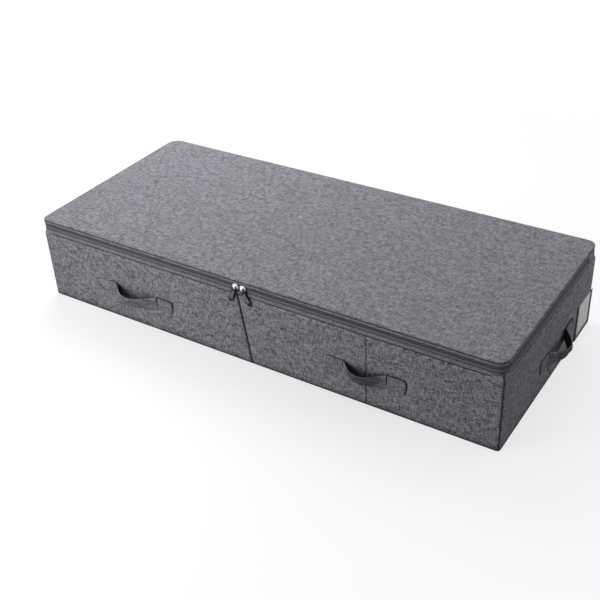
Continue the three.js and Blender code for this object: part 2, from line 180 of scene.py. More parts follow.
def sheet(name, points, uv, wrap=False, caps=False):
    """Quads through the grid points[i][j]. wrap joins the last column to the first, and
    caps closes the first and the last row with one face each."""
    points = np.asarray(points, float)
    uv = np.asarray(uv, float)
    rows, cols = points.shape[:2]
    faces, loops = [], []
    for i in range(rows - 1):
        for j in range(cols if wrap else cols - 1):
            k = (j + 1) % cols
            faces.append((i * cols + j, i * cols + k, (i + 1) * cols + k, (i + 1) * cols + j))
            loops += [uv[i, j], uv[i, j + 1], uv[i + 1, j + 1], uv[i + 1, j]]
    if caps:
        faces.append(tuple(reversed(range(cols))))
        loops += [uv[0, j] for j in reversed(range(cols))]
        faces.append(tuple((rows - 1) * cols + j for j in range(cols)))
        loops += [uv[-1, j] for j in range(cols)]
    mesh = bpy.data.meshes.new(name)
    mesh.from_pydata(points.reshape(-1, 3).tolist(), [], faces)
    mesh.uv_layers.new(name="weave").data.foreach_set("uv", np.ravel(loops))
    return make_object(name, mesh)


def plan_sheet(name, xs, ys, place_at):
    """Sheet over a grid in plan, whose points are place_at(x, y)."""
    points = [[place_at(x, y) for x in xs] for y in ys]
    return sheet(name, points, [[(x, y) for x in xs] for y in ys])


def thicken(obj, thickness, offset=-1):
    modifier = obj.modifiers.new("thickness", "SOLIDIFY")
    modifier.thickness = thickness
    modifier.offset = offset
    modifier.use_even_offset = True
    return obj


def soften(obj):
    modifier = obj.modifiers.new("smooth", "SUBSURF")
    modifier.levels = 1
    modifier.render_levels = 1
    return obj


def dress(obj, material, body, slot, *nodes):
    """Gives a piece its material, its CAD body and the nodes it stands for. slot is not used."""
    obj.data.materials.append(material)
    if body is not None:
        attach(obj, body)
    if nodes:
        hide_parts(*nodes)
    return obj


def run_round(path, level=1.0):
    """Points, normals and distance along the outline for a list of (side, along)."""
    places = [outline(side, along, level) for side, along in path]
    gone, total = [0.0], 0.0
    for (a, _), (b, _) in zip(places, places[1:]):
        total += (b - a).length
        gone.append(total)
    return places, gone


def round_section(inset, z, radius, sides=10):
    """Section of a round cord for sweep."""
    turns = [2 * math.pi * k / sides for k in range(sides)]
    return [(inset - radius * math.cos(t), z - radius * math.sin(t)) for t in turns]


def sweep(name, path, profile, level=1.0, closed=False, ripple=0.0):
    """Solid strip along the outline. profile lists (inset, z) round its section, outside
    first and downwards; closed joins the path's end to its start."""
    places, gone = run_round(path, level)
    points, uv = [], []
    girth = [0.0]
    for (a, b), (c, d) in zip(profile, profile[1:] + profile[:1]):
        girth.append(girth[-1] + math.hypot(c - a, d - b))
    for (point, normal), distance in zip(places, gone):
        row = []
        for inset, z in profile:
            spot = point - normal * inset
            spot.z = z
            if ripple:
                spot += normal * (ripple * wobble(spot, 9 * MM))
            row.append(spot)
        points.append(row)
        uv.append([(distance, -g) for g in girth])
    if closed:
        points.append(points[0])
        step = (places[0][0] - places[-1][0]).length
        uv.append([(gone[-1] + step, -g) for g in girth])
        obj = sheet(name, points, uv, wrap=True)
        weld(obj)
        return obj
    return sheet(name, points, uv, wrap=True, caps=True)


@contextmanager
def editing(obj):
    """Opens an object's mesh for changes and stores them afterwards."""
    shape = bmesh.new()
    shape.from_mesh(obj.data)
    yield shape
    shape.to_mesh(obj.data)
    shape.free()


def weld(obj):
    with editing(obj) as shape:
        bmesh.ops.remove_doubles(shape, verts=shape.verts, dist=1e-6)


def outward(obj):
    """Makes a closed mesh's faces look out."""
    with editing(obj) as shape:
        bmesh.ops.recalc_face_normals(shape, faces=shape.faces)
    return obj


def path_along(side, start, end, step):
    return [(side, place) for place in ticks(start, end, step)]


def zip_path(step):
    """Round the left end, the front and the right end, as far as the zip's two stops."""
    left = path_along("left", -ZIP_END, HALF_Y, step)
    front = path_along("front", -HALF_X, HALF_X, step)
    right = path_along("right", -HALF_Y, ZIP_END, step)
    return left + front[1:] + right[1:]


def whole_path(step):
    path = []
    for side, (_, _, half, _) in SIDES.items():
        path += path_along(side, -half, half, step)[:-1]
    return path


def pills(name, spots, length, radius, flat=1.0):
    """Many small capsules in one mesh. Each spot is (centre, direction, out)."""
    rings = ((-0.5, 0.45), (-0.36, 1.0), (0.36, 1.0), (0.5, 0.45))  # shares of length, radius
    sides = 6
    verts, faces = [], []
    for centre, direction, out in spots:
        across = direction.cross(out).normalized()
        first = len(verts)
        for share, wide in rings:
            for k in range(sides):
                angle = 2 * math.pi * k / sides
                offset = across * math.cos(angle) + out * (math.sin(angle) * flat)
                verts.append(centre + direction * (share * length) + offset * (radius * wide))
        for ring in range(len(rings) - 1):
            a = first + ring * sides
            for k in range(sides):
                n = (k + 1) % sides
                faces.append((a + k, a + n, a + sides + n, a + sides + k))
        last = first + (len(rings) - 1) * sides
        faces.append(tuple(first + k for k in reversed(range(sides))))
        faces.append(tuple(last + k for k in range(sides)))
    mesh = bpy.data.meshes.new(name)
    mesh.from_pydata([tuple(v) for v in verts], [], faces)
    return outward(make_object(name, mesh))


def stitch_spots(points, normals, pitch):
    """Stitch places every pitch along a polyline."""
    spots, carried = [], pitch / 2
    for a, b, out in zip(points, points[1:], normals):
        run = (b - a).length
        if run < 1e-9:
            continue
        direction = (b - a) / run
        while carried < run:
            spots.append((a + direction * carried, direction, out))
            carried += pitch
        carried -= run
    return spots


def divided(corners, steps):
    """A polyline's corners, with each run between two of them cut into steps."""
    line = []
    for (a, b), (c, d) in zip(corners, corners[1:]):
        line += [(a + (c - a) * k / steps, b + (d - b) * k / steps) for k in range(steps)]
    return line + [corners[-1]]


def outline_stitches(name, path, inset, z):
    places, _ = run_round(path)
    points = [p - n * inset + Vector((0, 0, z)) for p, n in places]
    spots = stitch_spots(points, [n for _, n in places], 3.6 * MM)
    return pills(name, spots, 2.5 * MM, 0.32 * MM, flat=0.7)


# --- node materials


class Nodes:
    """A node tree under construction. Most methods add nodes and return an output."""

    def __init__(self, data):
        data.use_nodes = True
        self.data = data
        self.tree = data.node_tree

    def node(self, kind, inputs=None, **settings):
        made = self.tree.nodes.new(kind)
        for key, value in settings.items():
            setattr(made, key, value)
        for key, value in (inputs or {}).items():
            self.feed(made.inputs[key], value)
        return made

    def feed(self, socket, value):
        if isinstance(value, bpy.types.NodeSocket):
            self.tree.links.new(value, socket)
        else:
            socket.default_value = value

    def math(self, operation, *values, clamp=False):
        inputs = dict(enumerate(values))
        made = self.node("ShaderNodeMath", inputs, operation=operation, use_clamp=clamp)
        return made.outputs[0]

    def plus(self, first, *rest):
        for value in rest:
            first = self.math("ADD", first, value)
        return first

    def times(self, first, *rest):
        for value in rest:
            first = self.math("MULTIPLY", first, value)
        return first

    def wave(self, value, pitch):
        """Bumps from 0 to 1, one every pitch."""
        return self.math("ABSOLUTE", self.math("SINE", self.times(value, math.pi / pitch)))

    def spread(self, value, low, high, to_low=0.0, to_high=1.0):
        inputs = {"Value": value, "From Min": low, "From Max": high}
        inputs.update({"To Min": to_low, "To Max": to_high})
        return self.node("ShaderNodeMapRange", inputs).outputs[0]


class Material(Nodes):
    """Node material, with noises and colours for cloth, metal and card."""

    def __init__(self, name):
        super().__init__(bpy.data.materials.new(name))
        self.shader = self.tree.nodes["Principled BSDF"]

    def cloth_mm(self):
        """The weave map's two coordinates, in millimetres."""
        uv = self.node("ShaderNodeUVMap", uv_map="weave").outputs[0]
        split = self.node("ShaderNodeSeparateXYZ", {0: uv})
        u = self.math("MULTIPLY", split.outputs[0], 1000)
        v = self.math("MULTIPLY", split.outputs[1], 1000)
        return u, v

    def noise(self, u, v, wide, tall, detail=2.0, shift=0.0, rough=0.55):
        """Noise stretched to features wide by tall millimetres."""
        vector = self.node(
            "ShaderNodeCombineXYZ",
            {0: self.math("DIVIDE", u, wide), 1: self.math("DIVIDE", v, tall), 2: shift},
        ).outputs[0]
        inputs = {"Vector": vector, "Scale": 1.0, "Detail": detail, "Roughness": rough}
        return self.node("ShaderNodeTexNoise", inputs).outputs["Fac"]

    def object_noise(self, size, detail=3.0):
        place = self.node("ShaderNodeTexCoord").outputs["Object"]
        inputs = {"Vector": place, "Scale": 1 / size, "Detail": detail}
        return self.node("ShaderNodeTexNoise", inputs).outputs["Fac"]

    def mix(self, factor, a, b):
        made = self.node("ShaderNodeMix", data_type="RGBA", clamp_factor=True)
        for socket, value in zip((made.inputs[0], made.inputs[6], made.inputs[7]), (factor, a, b)):
            self.feed(socket, value)
        return made.outputs[2]

    def scaled(self, colour, factor):
        made = self.node("ShaderNodeVectorMath", {0: colour}, operation="SCALE")
        self.feed(made.inputs["Scale"], factor)
        return made.outputs[0]

    def painted_crevice_shade(self, reach):
        """Painted shade: ambient occlusion darkens the colour in folds and seams, where little
        light gets in.
        """
        darkest = 0.15
        inputs = {"Distance": reach}
        open_sky = self.node("ShaderNodeAmbientOcclusion", inputs, samples=6).outputs["AO"]
        return self.spread(open_sky, 0.3, 0.85, darkest, 1.0)

    def bump(self, height, distance, strength):
        inputs = {"Height": height, "Distance": distance, "Strength": strength}
        self.feed(self.shader.inputs["Normal"], self.node("ShaderNodeBump", inputs).outputs[0])

    def finish(self, **values):
        for key, value in values.items():
            self.feed(self.shader.inputs[key.replace("_", " ")], value)
        return self.data


def grey(level, cool=1.0):
    """Linear colour of the box's slightly violet greys."""
    return (level, level * (1 - 0.008 * cool), level * (1 + 0.09 * cool), 1)


def yarns(m, u, v, pitch, slub, upright):
    """Tone of the yarn on top: each yarn has its own tone, which drifts along it, and the
    upright and the level yarns take turns on top."""
    upright_yarn = m.math("FLOOR", m.math("DIVIDE", u, pitch))
    level_yarn = m.math("FLOOR", m.math("DIVIDE", v, pitch))
    apart = 0.37  # makes neighbouring yarns unlike each other
    drift = 8.0 * slub
    upright_tone = m.noise(upright_yarn, v, apart, drift * upright, detail=1.0, shift=11.1)
    level_tone = m.noise(u, level_yarn, drift, apart, detail=1.0, shift=17.9)
    turn = m.math("PINGPONG", m.plus(upright_yarn, level_yarn), 1.0)
    return m.plus(m.times(upright_tone, turn), m.times(level_tone, m.math("SUBTRACT", 1.0, turn)))


def woven(name, level, slub, contrast=1.0, upright=1.0):
    """Plain weave of pale and dark yarns that swell and fade along their length. slub scales
    the thick places, and upright makes those of the upright yarns longer."""
    m = Material(name)
    u, v = m.cloth_mm()
    pitch = 0.95  # millimetres from yarn to yarn
    crown = m.times(m.wave(u, pitch), m.wave(v, pitch))

    on_top = yarns(m, u, v, pitch, slub, upright)

    # slubs: short thick places in the upright and in the level yarns
    thick, long = 2.6 * slub, 9.5 * slub
    tall = m.noise(u, v, thick, long * upright, detail=1.0)
    wide = m.noise(u, v, long, thick * upright, detail=1.0, shift=5.3)
    knots = m.noise(u, v, 2.4 * slub, 2.4 * slub * upright, detail=2.0, shift=29.0)
    patches = m.noise(u, v, 60, 50, shift=23.0)
    shares = ((tall, 0.24), (wide, 0.24), (on_top, 0.36), (knots, 0.16))
    tone = m.plus(*(m.times(m.spread(part, 0.32, 0.68), share) for part, share in shares))
    reach = 0.34 / contrast
    tone = m.spread(tone, 0.5 - reach, 0.5 + reach)
    cloth = m.mix(tone, grey(level * 0.26), grey(level * 1.9))

    # painted shade: a per-point weight on the handle straps darkens their loose middles, where they
    # turn away from the light
    painted_strap_shade = m.node("ShaderNodeAttribute", attribute_name="strap_shade").outputs["Fac"]
    # painted shade: the colour darkens between the yarns' crowns and, by ambient occlusion, in
    # folds and seams; the patches are the cloth's own uneven tone
    shade = m.times(
        m.spread(crown, 0.0, 0.4, 0.72, 1.06),
        m.spread(patches, 0.3, 0.7, 0.95, 1.05),
        m.painted_crevice_shade(26 * MM),
        m.math("SUBTRACT", 1.0, painted_strap_shade),
    )
    m.bump(m.plus(crown, m.times(knots, 1.6)), 0.2 * MM, 0.9)
    return m.finish(
        Base_Color=m.scaled(cloth, shade),
        Roughness=m.spread(knots, 0.3, 0.7, 0.82, 0.98),
        Sheen_Weight=0.08,
        Sheen_Roughness=0.5,
        Specular_IOR_Level=0.2,
    )


def taped(name, level, rib=1.15):
    """Fine ribbed tape: cords run along its length, with a tight weave between them."""
    m = Material(name)
    u, v = m.cloth_mm()
    cords, picks = m.wave(v, rib), m.wave(u, 0.6)
    uneven = m.noise(u, v, 9, 1.3, detail=3)
    fuzz = m.noise(u, v, 0.7, 0.7, shift=3)
    # painted highlight and shade: the ribs' crests are coloured lighter than the hollows between
    # them, on top of the tape's own uneven tone
    tone = m.plus(m.times(cords, 0.5), m.times(uneven, 0.9), m.times(fuzz, 0.35))
    colour = m.mix(m.spread(tone, 0.4, 1.35), grey(level * 0.45), grey(level * 1.7))
    m.bump(m.plus(cords, m.times(picks, 0.3)), 0.22 * MM, 0.8)
    return m.finish(
        # painted shade in folds and seams, by ambient occlusion
        Base_Color=m.scaled(colour, m.painted_crevice_shade(10 * MM)),
        Roughness=m.spread(uneven, 0.3, 0.7, 0.75, 0.92),
        Sheen_Weight=0.08,
        Specular_IOR_Level=0.3,
    )


def spunbond(name, level):
    """Thin non-woven lining: random fibres pressed with a lattice of small points."""
    m = Material(name)
    u, v = m.cloth_mm()
    dots = m.times(m.wave(m.plus(u, v), 2.4), m.wave(m.math("SUBTRACT", u, v), 2.4))
    fibres = m.noise(u, v, 1.1, 1.1, detail=4, rough=0.7)
    clouds = m.noise(u, v, 38, 30, detail=3, shift=4)
    tone = m.plus(m.times(fibres, 0.7), m.times(clouds, 0.5))
    colour = m.mix(m.spread(tone, 0.35, 0.85), grey(level * 0.7, 0.5), grey(level * 1.35, 0.5))
    m.bump(m.plus(m.math("POWER", dots, 0.4), fibres), 0.14 * MM, 0.8)
    return m.finish(Base_Color=colour, Roughness=0.93, Specular_IOR_Level=0.25)


def metal(name, level, roughness):
    m = Material(name)
    smudge = m.object_noise(2.2 * MM)
    grain = m.object_noise(0.35 * MM, detail=2.0)
    bright = (level, level, level * 1.02, 1)
    dull = (level * 0.82, level * 0.81, level * 0.82, 1)
    m.bump(m.plus(smudge, m.times(grain, 0.3)), 0.03 * MM, 0.5)
    return m.finish(
        Base_Color=m.mix(m.spread(smudge, 0.3, 0.7), bright, dull),
        Metallic=1.0,
        Roughness=m.spread(smudge, 0.3, 0.7, roughness, roughness + 0.16),
    )


def moulded(name, level, roughness=0.42):
    m = Material(name)
    grain = m.object_noise(0.8 * MM)
    colour = m.mix(grain, grey(level * 0.75, 0.5), grey(level * 1.3, 0.5))
    m.bump(grain, 0.05 * MM, 0.5)
    return m.finish(Base_Color=colour, Roughness=m.spread(grain, 0.3, 0.7, roughness, 0.6))


def grey_card(name):
    m = Material(name)
    pulp = m.object_noise(1.6 * MM, detail=5.0)
    flecks = m.object_noise(0.5 * MM, detail=2.0)
    colour = m.mix(m.spread(pulp, 0.3, 0.7), (0.2, 0.175, 0.14, 1), (0.31, 0.275, 0.23, 1))
    colour = m.mix(m.spread(flecks, 0.66, 0.74, 0, 0.7), colour, (0.08, 0.07, 0.06, 1))
    m.bump(pulp, 0.12 * MM, 0.6)
    return m.finish(Base_Color=colour, Roughness=0.92)


def blank_paper(name):
    m = Material(name)
    pulp = m.object_noise(1.1 * MM, detail=5.0)
    clouds = m.object_noise(22 * MM)
    tone = m.plus(m.times(pulp, 0.4), m.times(clouds, 0.6))
    colour = m.mix(m.spread(tone, 0.35, 0.65), (0.83, 0.83, 0.84, 1), (0.9, 0.9, 0.91, 1))
    m.bump(pulp, 0.04 * MM, 0.5)
    return m.finish(Base_Color=colour, Roughness=0.85)


def clear_film(name):
    m = Material(name)
    waves = m.object_noise(16 * MM, detail=2.0)
    scuffs = m.object_noise(1.5 * MM, detail=4.0)
    m.bump(waves, 0.5 * MM, 0.5)
    return m.finish(
        Base_Color=(0.9, 0.91, 0.93, 1),
        Alpha=m.spread(scuffs, 0.45, 0.8, 0.12, 0.3),
        Roughness=m.spread(scuffs, 0.4, 0.7, 0.12, 0.3),
        Specular_IOR_Level=0.6,
    )


LINEN = woven("linen_look_cloth", 0.2, slub=1.0, upright=1.35, contrast=1.3)
LID_LINEN = woven("lid_cloth", 0.2, slub=1.1, upright=1.35, contrast=0.92)
STRAP = woven("strap_cloth", 0.185, slub=0.9, contrast=1.1)
# painted shade: a near-black copy of the strap cloth for the strap's inner face, standing in for
# the deep shade in the cavity behind each handle
STRAP_INNER_SHADE = woven("strap_back_cloth", 0.035, slub=0.9)
WELT = woven("hem_cloth", 0.2, slub=0.8, contrast=0.8)
POCKET = woven("pocket_cloth", 0.18, slub=0.8)
TAPE = taped("zip_tape", 0.15)
CORD = taped("hem_cord", 0.06, rib=0.9)
BINDING = taped("dark_binding", 0.032, rib=0.9)
THREAD = moulded("thread", 0.07, roughness=0.6)
COIL = moulded("zip_coil_plastic", 0.1)
NICKEL = metal("nickel_plate", 0.95, 0.46)
GUNMETAL = metal("dark_nickel", 0.32, 0.5)
RIM_METAL = metal("blackened_rim", 0.03, 0.4)
LINING = spunbond("spunbond_lining", 0.1)
BOARD = grey_card("grey_board_stock")
PAPER = blank_paper("blank_card_stock")
FILM = clear_film("clear_pocket_film")

# --- tray walls

CREASE_X = HALF_X / 2  # the long walls fold a quarter of the way from each end
SEAM_HIGH = 128 * MM  # height over which the middle seams' drift is measured
SEAM_PULL = 130 * MM  # how far to each side the drifting seam pulls the cloth along
SEAM_CORD = 2.3 * MM  # radii of the cords in the middle seams, the creases and the corners
CREASE_THREAD = 0.8 * MM
CORNER_CORD = 1.25 * MM


def wall_level(z, top):
    """The tray's corners stay nearly sharp up to the boards' top, then lean in to the zip."""
    shoulder = WALL_TOP - 1 * MM
    return 0.6 * smooth((z - shoulder) / (top - shoulder))


def wall_top(side, along):
    """The cloth's upper edge rises to a peak at each corner, in front of the zip. The rounder
    the lid's corner, the higher the peak."""
    highest, reach, roundest = 8.5 * MM, 34 * MM, 22 * MM
    near = smooth(1 - (SIDES[side][2] - abs(along)) / reach)
    return WALL_TOP + 0.8 * MM + highest * near * corner_radius(side, along, 1) / roundest


def seam_shift(z):
    """The long walls' middle seam was sewn off plumb: it drifts from foot to top."""
    at_foot, drift = 5 * MM, 19 * MM
    return at_foot - drift * z / SEAM_HIGH


# Depth and half width of the grooves in the walls' cloth.
CORNER_GROOVE = (1.3 * MM, 2.4 * MM)
FOOT_GROOVE = (1.2 * MM, 3 * MM)
TOP_GROOVE = (1.4 * MM, 2.2 * MM)
SEAM_GROOVE = (2.2 * MM, 3.8 * MM)
CREASE_GROOVE = (1.3 * MM, 1.6 * MM)
CREASE_HOLLOW = (0.3 * MM, 8 * MM)
DEEPEST = 2.8 * MM  # the boards stop the cloth here


def groove(distance, shape):
    depth, width = shape
    return depth * math.exp(-((distance / width) ** 2))


def wall_relief(side, along, z, top, seams):
    """How far the cloth sinks below its full face: seams, creases, puckers and slack."""
    half = SIDES[side][2]
    spot = Vector((along, z, half))
    inset = 0.25 * MM * (1 + wobble(spot, 75 * MM)) + 0.1 * MM * wobble(spot, 20 * MM, 3)
    inset += groove(half - abs(along), CORNER_GROOVE)
    inset += groove(z - BASE_LOW.z, FOOT_GROOVE)
    inset += groove(top - z, TOP_GROOVE)
    for seam in seams:
        inset += groove(along - seam, SEAM_GROOVE)
        pucker = math.exp(-abs(along - seam) / (14 * MM))
        inset += 0.5 * MM * pucker * wobble((z, along * 0.3, 0), 11 * MM, 5)
    if side in ("front", "back"):
        for crease, deep in ((-CREASE_X, 0.5), (CREASE_X, 1.0)):
            inset += deep * groove(along - crease, CREASE_GROOVE)
            inset += deep * groove(along - crease, CREASE_HOLLOW)
    pull = math.exp(-(top - z) / (9 * MM)) + math.exp(-z / (7 * MM))
    inset += 0.3 * MM * pull * wobble((along, 0, 0), 13 * MM, 9)
    return min(inset, DEEPEST) - CLOTH_OUT


def wall_point(side, along, share, seams):
    """Point of the wall's cloth: share runs from 0 at its foot to 1 near the boards' top, and
    on to 2 at the cloth's upper edge."""
    foot, shoulder = 1.6 * MM, WALL_TOP - 1 * MM
    top = wall_top(side, along)
    z = foot + (shoulder - foot) * min(share, 1)
    if share > 1:
        z = shoulder + (top - shoulder) * (share - 1)
    point, normal = outline(side, along, wall_level(z, top))
    point -= normal * wall_relief(side, along, z, top, seams)
    if seams:
        near = max(0, 1 - abs(along - seams[0]) / SEAM_PULL)
        point += SIDES[side][0] * (seam_shift(z) * near)
    point.z = z
    return point


def wall_panel(name, side, start, end, seams, *nodes):
    _, _, half, _ = SIDES[side]
    dense = [*seams, -half, half]
    if side in ("front", "back"):
        dense += [-CREASE_X, CREASE_X]
    columns = ticks(start, end, 5 * MM, dense)
    shares = [z / WALL_TOP for z in ticks(0, WALL_TOP, 5 * MM, [0.0, WALL_TOP])]
    shares += [1.2, 1.4, 1.6, 1.8, 2.0]
    points, uv = [], []
    for share in shares:
        row = [wall_point(side, along, share, seams) for along in columns]
        points.append(row)
        uv.append([(along + half * 3, point.z) for along, point in zip(columns, row)])
    panel = sheet(name, points, uv)
    thicken(panel, CLOTH)
    return dress(panel, LINEN, "tray", "linen_look_fabric", *nodes)


def tray_walls():
    # two panels meet at the centre seam of the front and of the back. The back's right-hand
    # panel comes first, because the outline runs the other way there
    for side, panels in (("front", ("left", "right")), ("back", ("right", "left"))):
        for end, (start, stop) in zip(panels, ((-HALF_X, 0), (0, HALF_X))):
            name = f"{side}_{end}_cloth"
            wall_panel(name, side, start, stop, [0], f"{side}_fabric_{end}")
    for side in ("right", "left"):
        wall_panel(f"{side}_end_cloth", side, -HALF_Y, HALF_Y, [], f"{side}_end_fabric")


def tube(name, centres, radius, seed, uneven=0.06):
    """Round cord through centres, a little uneven, with its ends closed."""
    sides = 10
    angles = [2 * math.pi * k / sides for k in range(sides)]
    points, uv, gone = [], [], 0.0
    for i, centre in enumerate(centres):
        before = centres[max(i - 1, 0)]
        after = centres[min(i + 1, len(centres) - 1)]
        direction = (after - before).normalized()
        side = direction.orthogonal().normalized()
        other = direction.cross(side)
        girth = radius * (1 + uneven * wobble((i * 0.57, seed, 0), 1.0))
        if i:
            gone += (centre - before).length
        points.append([centre + (side * math.cos(a) + other * math.sin(a)) * girth for a in angles])
        uv.append([(gone, radius * 2 * math.pi * k / sides) for k in range(sides + 1)])
    return sheet(name, points, uv, wrap=True, caps=True)


def upright_seams():
    """Dark cords in the four corners and in the long walls' middle seams."""
    shares = [k / 30 for k in range(31)] + [1.35, 1.7, 1.95]
    for corner, (side, _) in CORNERS.items():
        half = SIDES[side][2]
        centres = [wall_point(side, half, share, []) for share in shares]
        cord = tube(f"{corner}_seam_cord", centres, CORNER_CORD, seed=half)
        dress(cord, BINDING, "tray", "dark_tape", f"{corner}_corner_seam")
    for side in ("front", "back"):
        seam, crease = (
            [wall_point(side, along, share, [0]) for share in shares[:-2]]
            for along in (0, CREASE_X)
        )
        cord = tube(f"{side}_middle_seam", seam, SEAM_CORD, seed=3, uneven=0.5)
        dress(cord, BINDING, "tray", "dark_tape")
        cord = tube(f"{side}_crease_thread", crease, CREASE_THREAD, seed=5)
        dress(cord, CORD, "tray", "dark_tape")


def corner_gussets():
    """Facing that closes the gap between the tray's sharp corner and the rounded zip; its
    near-black colour is painted shade for the deep crevice under the zip band.
    """
    reach = 32 * MM
    for corner, (first, second) in CORNERS.items():
        half_a, half_b = SIDES[first][2], SIDES[second][2]
        path = path_along(first, half_a - reach, half_a, 3 * MM)
        path += path_along(second, -half_b, -half_b + reach, 3 * MM)[1:]
        points, uv = [], []
        for share in (0, 0.25, 0.5, 0.75, 1):
            places, _ = run_round(path, share)
            height = WALL_TOP + (0.4 + 1.2 * share) * MM
            rise = Vector((0, 0, height))
            points.append([p - n * ((1.4 + 1.8 * share) * MM) + rise for p, n in places])
            uv.append([(3 * MM * k, 3 * MM * share) for k in range(len(path))])
        gusset = thicken(sheet(f"{corner}_gusset", points, uv), 0.5 * MM)
        # painted shade: the facing is near-black to stand in for the crevice's shade
        dress(gusset, BINDING, "tray", "dark_tape")


def bottom_edge():
    section = round_section(1.1 * MM, 1.62 * MM, 1.5 * MM)
    path = whole_path(6 * MM)
    binding = sweep("bottom_edge_binding", path, section, level=0, closed=True, ripple=0.12 * MM)
    dress(binding, BINDING, "tray", "dark_tape", "bottom_binding")

    inset = 2.2 * MM
    xs, ys = (ticks(inset - half, half - inset, 9 * MM) for half in (HALF_X, HALF_Y))

    def underside(x, y):
        return x, y, 0.75 * MM + 0.25 * MM * wobble((x, y, 0), 60 * MM)

    under = thicken(plan_sheet("underside_cloth", xs, ys, underside), 0.9 * MM, offset=1)
    dress(under, LINEN, "tray", "linen_look_fabric", "bottom_fabric")


# --- linings and base boards


def wall_lining(name, side, node):
    """Lining up the inside of a wall, turned out over the board's top edge."""
    travel, out, half, face = SIDES[side]
    low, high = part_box(node)
    inner = min(abs(low.dot(out)), abs(high.dot(out)))
    corner_gap = 6.2 * MM if side in ("front", "back") else 5.6 * MM
    reach = half - corner_gap
    levels = [(inner, z) for z in ticks(low.z + 0.4 * MM, WALL_TOP - 1 * MM, 8 * MM)]
    lip = WALL_TOP + 0.1 * MM
    levels += [(inner + 0.6 * MM, lip - 0.3 * MM), (inner + 2.4 * MM, lip), (face - 2.9 * MM, lip)]
    columns = ticks(reach, -reach, 8 * MM)
    points, uv, climbed = [], [], 0.0
    for index, (distance, z) in enumerate(levels):
        if index:
            climbed += math.hypot(distance - levels[index - 1][0], z - levels[index - 1][1])
        row = []
        for along in columns:
            slack = 0.35 * MM * wobble((along, z, half), 45 * MM, 2)
            bend = corner_radius(side, -along, 1)
            edge = max(0, abs(along) - (half - bend)) / bend
            lift = 0.4 * bend * edge * edge if z > WALL_TOP - 0.5 * MM else 0
            proud = distance - inner
            proud = max(proud - lift, 0.25 * proud)
            place = travel * along + out * (inner + proud + min(slack, 0))
            row.append(place + Vector((0, 0, z)))
        points.append(row)
        uv.append([(along, climbed) for along in columns])
    lining = sheet(name, points, uv)
    thicken(lining, 0.6 * MM, offset=-1)
    dress(lining, LINING, "tray", "lining", node)


def covered_board(name, node, material):
    """Board wrapped in cloth: a slab with soft edges and a little slack on top."""
    middle, half = middle_and_half(node)
    edge = 1.4 * MM
    slack = 0.3 * MM
    turns = [math.radians(a) for a in (0, 30, 60, 90)]
    curve = [(half.y - edge + edge * math.sin(t), math.cos(t)) for t in turns]
    line = ticks(-half.y + edge, half.y - edge, 12 * MM)
    columns = ticks(-half.x, half.x, 12 * MM)
    points = []
    for x in columns:
        thick = half.z * (1 - smooth(1 - (half.x - abs(x)) / edge) * 0.35)
        ring = [(-y, thick * c) for y, c in reversed(curve)]
        ring += [(y, thick) for y in line[1:-1]]
        ring += [(y, thick * c) for y, c in curve]
        ring += [(y, -z) for y, z in reversed(ring[1:-1])]
        row = []
        for y, z in ring:
            rise = slack * wobble((x, y, 0), 60 * MM, 6) if z > 0 else 0
            row.append((middle.x + x, middle.y + y, middle.z + z - max(rise, 0)))
        points.append(row)
    blank = [[(0, 0)] * (len(ring) + 1)] * len(columns)
    board = sheet(name, points, blank, wrap=True, caps=True)
    weave = board.data.uv_layers["weave"].data
    for loop, mapped in zip(board.data.loops, weave):
        spot = board.data.vertices[loop.vertex_index].co
        mapped.uv = (spot.x, spot.y + spot.z)
    dress(outward(board), material, "tray", "lining", node)


def inside():
    for side in ("front", "back", "left", "right"):
        node = f"{side}_lining" if side in ("front", "back") else f"{side}_end_lining"
        wall_lining(f"{side}_wall_lining", side, node)
    for end in ("left", "right"):
        covered_board(f"base_pad_{end}", f"base_board_{end}", LINING)
    for node, obj in frame["nodes"].items():
        if "_board_" in node or node.endswith("_board"):
            obj.data.materials.clear()
            obj.data.materials.append(BOARD)


# --- zip


def tape_profile(top, bottom, outer, thickness, ribs):
    """Section of a tape: a ribbed outer face from top to bottom, and a plain inner face."""
    rib = 0.35 * MM
    steps = ribs * 4
    face = []
    for k in range(steps + 1):
        crest = 0.5 + 0.5 * math.cos(math.pi * k / 2)
        face.append((outer + rib * crest, top + (bottom - top) * k / steps))
    return face + [(outer + thickness, bottom), (outer + thickness, top)]


def zip_tapes():
    path = zip_path(5 * MM)
    coil_high = 2.1 * MM  # from the meeting line to the far side of one row of coil
    outer, thick = 1.1 * MM, 1.3 * MM
    hem_low = PIPING_LOW.z - 4.6 * MM
    strips = (
        ("upper_tape", "lid", "upper_zip_tape", hem_low + 0.6 * MM, COIL_Z + coil_high),
        ("lower_tape", "tray", "lower_zip_tape", COIL_Z - coil_high, WALL_TOP + 1.4 * MM),
    )
    for name, body, node, high, low in strips:
        ribs = max(2, round((high - low) / (2 * MM)))
        section = tape_profile(high, low, outer, thick, ribs)
        tape = sweep(name, path, section, ripple=0.1 * MM)
        dress(tape, TAPE, body, "dark_tape", node)
    # the tapes' edges run on behind the coil and almost meet
    for name, body, side in (("upper_tape_edge", "lid", 1), ("lower_tape_edge", "tray", -1)):
        low, high = sorted(COIL_Z + side * far for far in (0.2 * MM, 2.4 * MM))
        outer, inner = 1.9 * MM, 2.4 * MM
        section = [(outer, high), (outer, low), (inner, low), (inner, high)]
        dress(sweep(name, path, section), TAPE, body, "dark_tape")


def soft_band(name, path, low, high, out, body):
    """Folded strip of cloth with a rounded section from low to high."""
    steps = 10
    back = 1.9 * MM  # inset of the fold's two edges
    section = []
    for k in range(steps + 1):
        angle = math.pi * k / steps
        z = (high + low) / 2 + (high - low) / 2 * math.cos(angle)
        section.append((back - (back - out) * math.sin(angle) ** 0.45, z))
    section += [(2.6 * MM, low), (2.6 * MM, high)]
    band = sweep(name, path, section, ripple=0.16 * MM)
    dress(band, WELT, body, "linen_look_fabric")


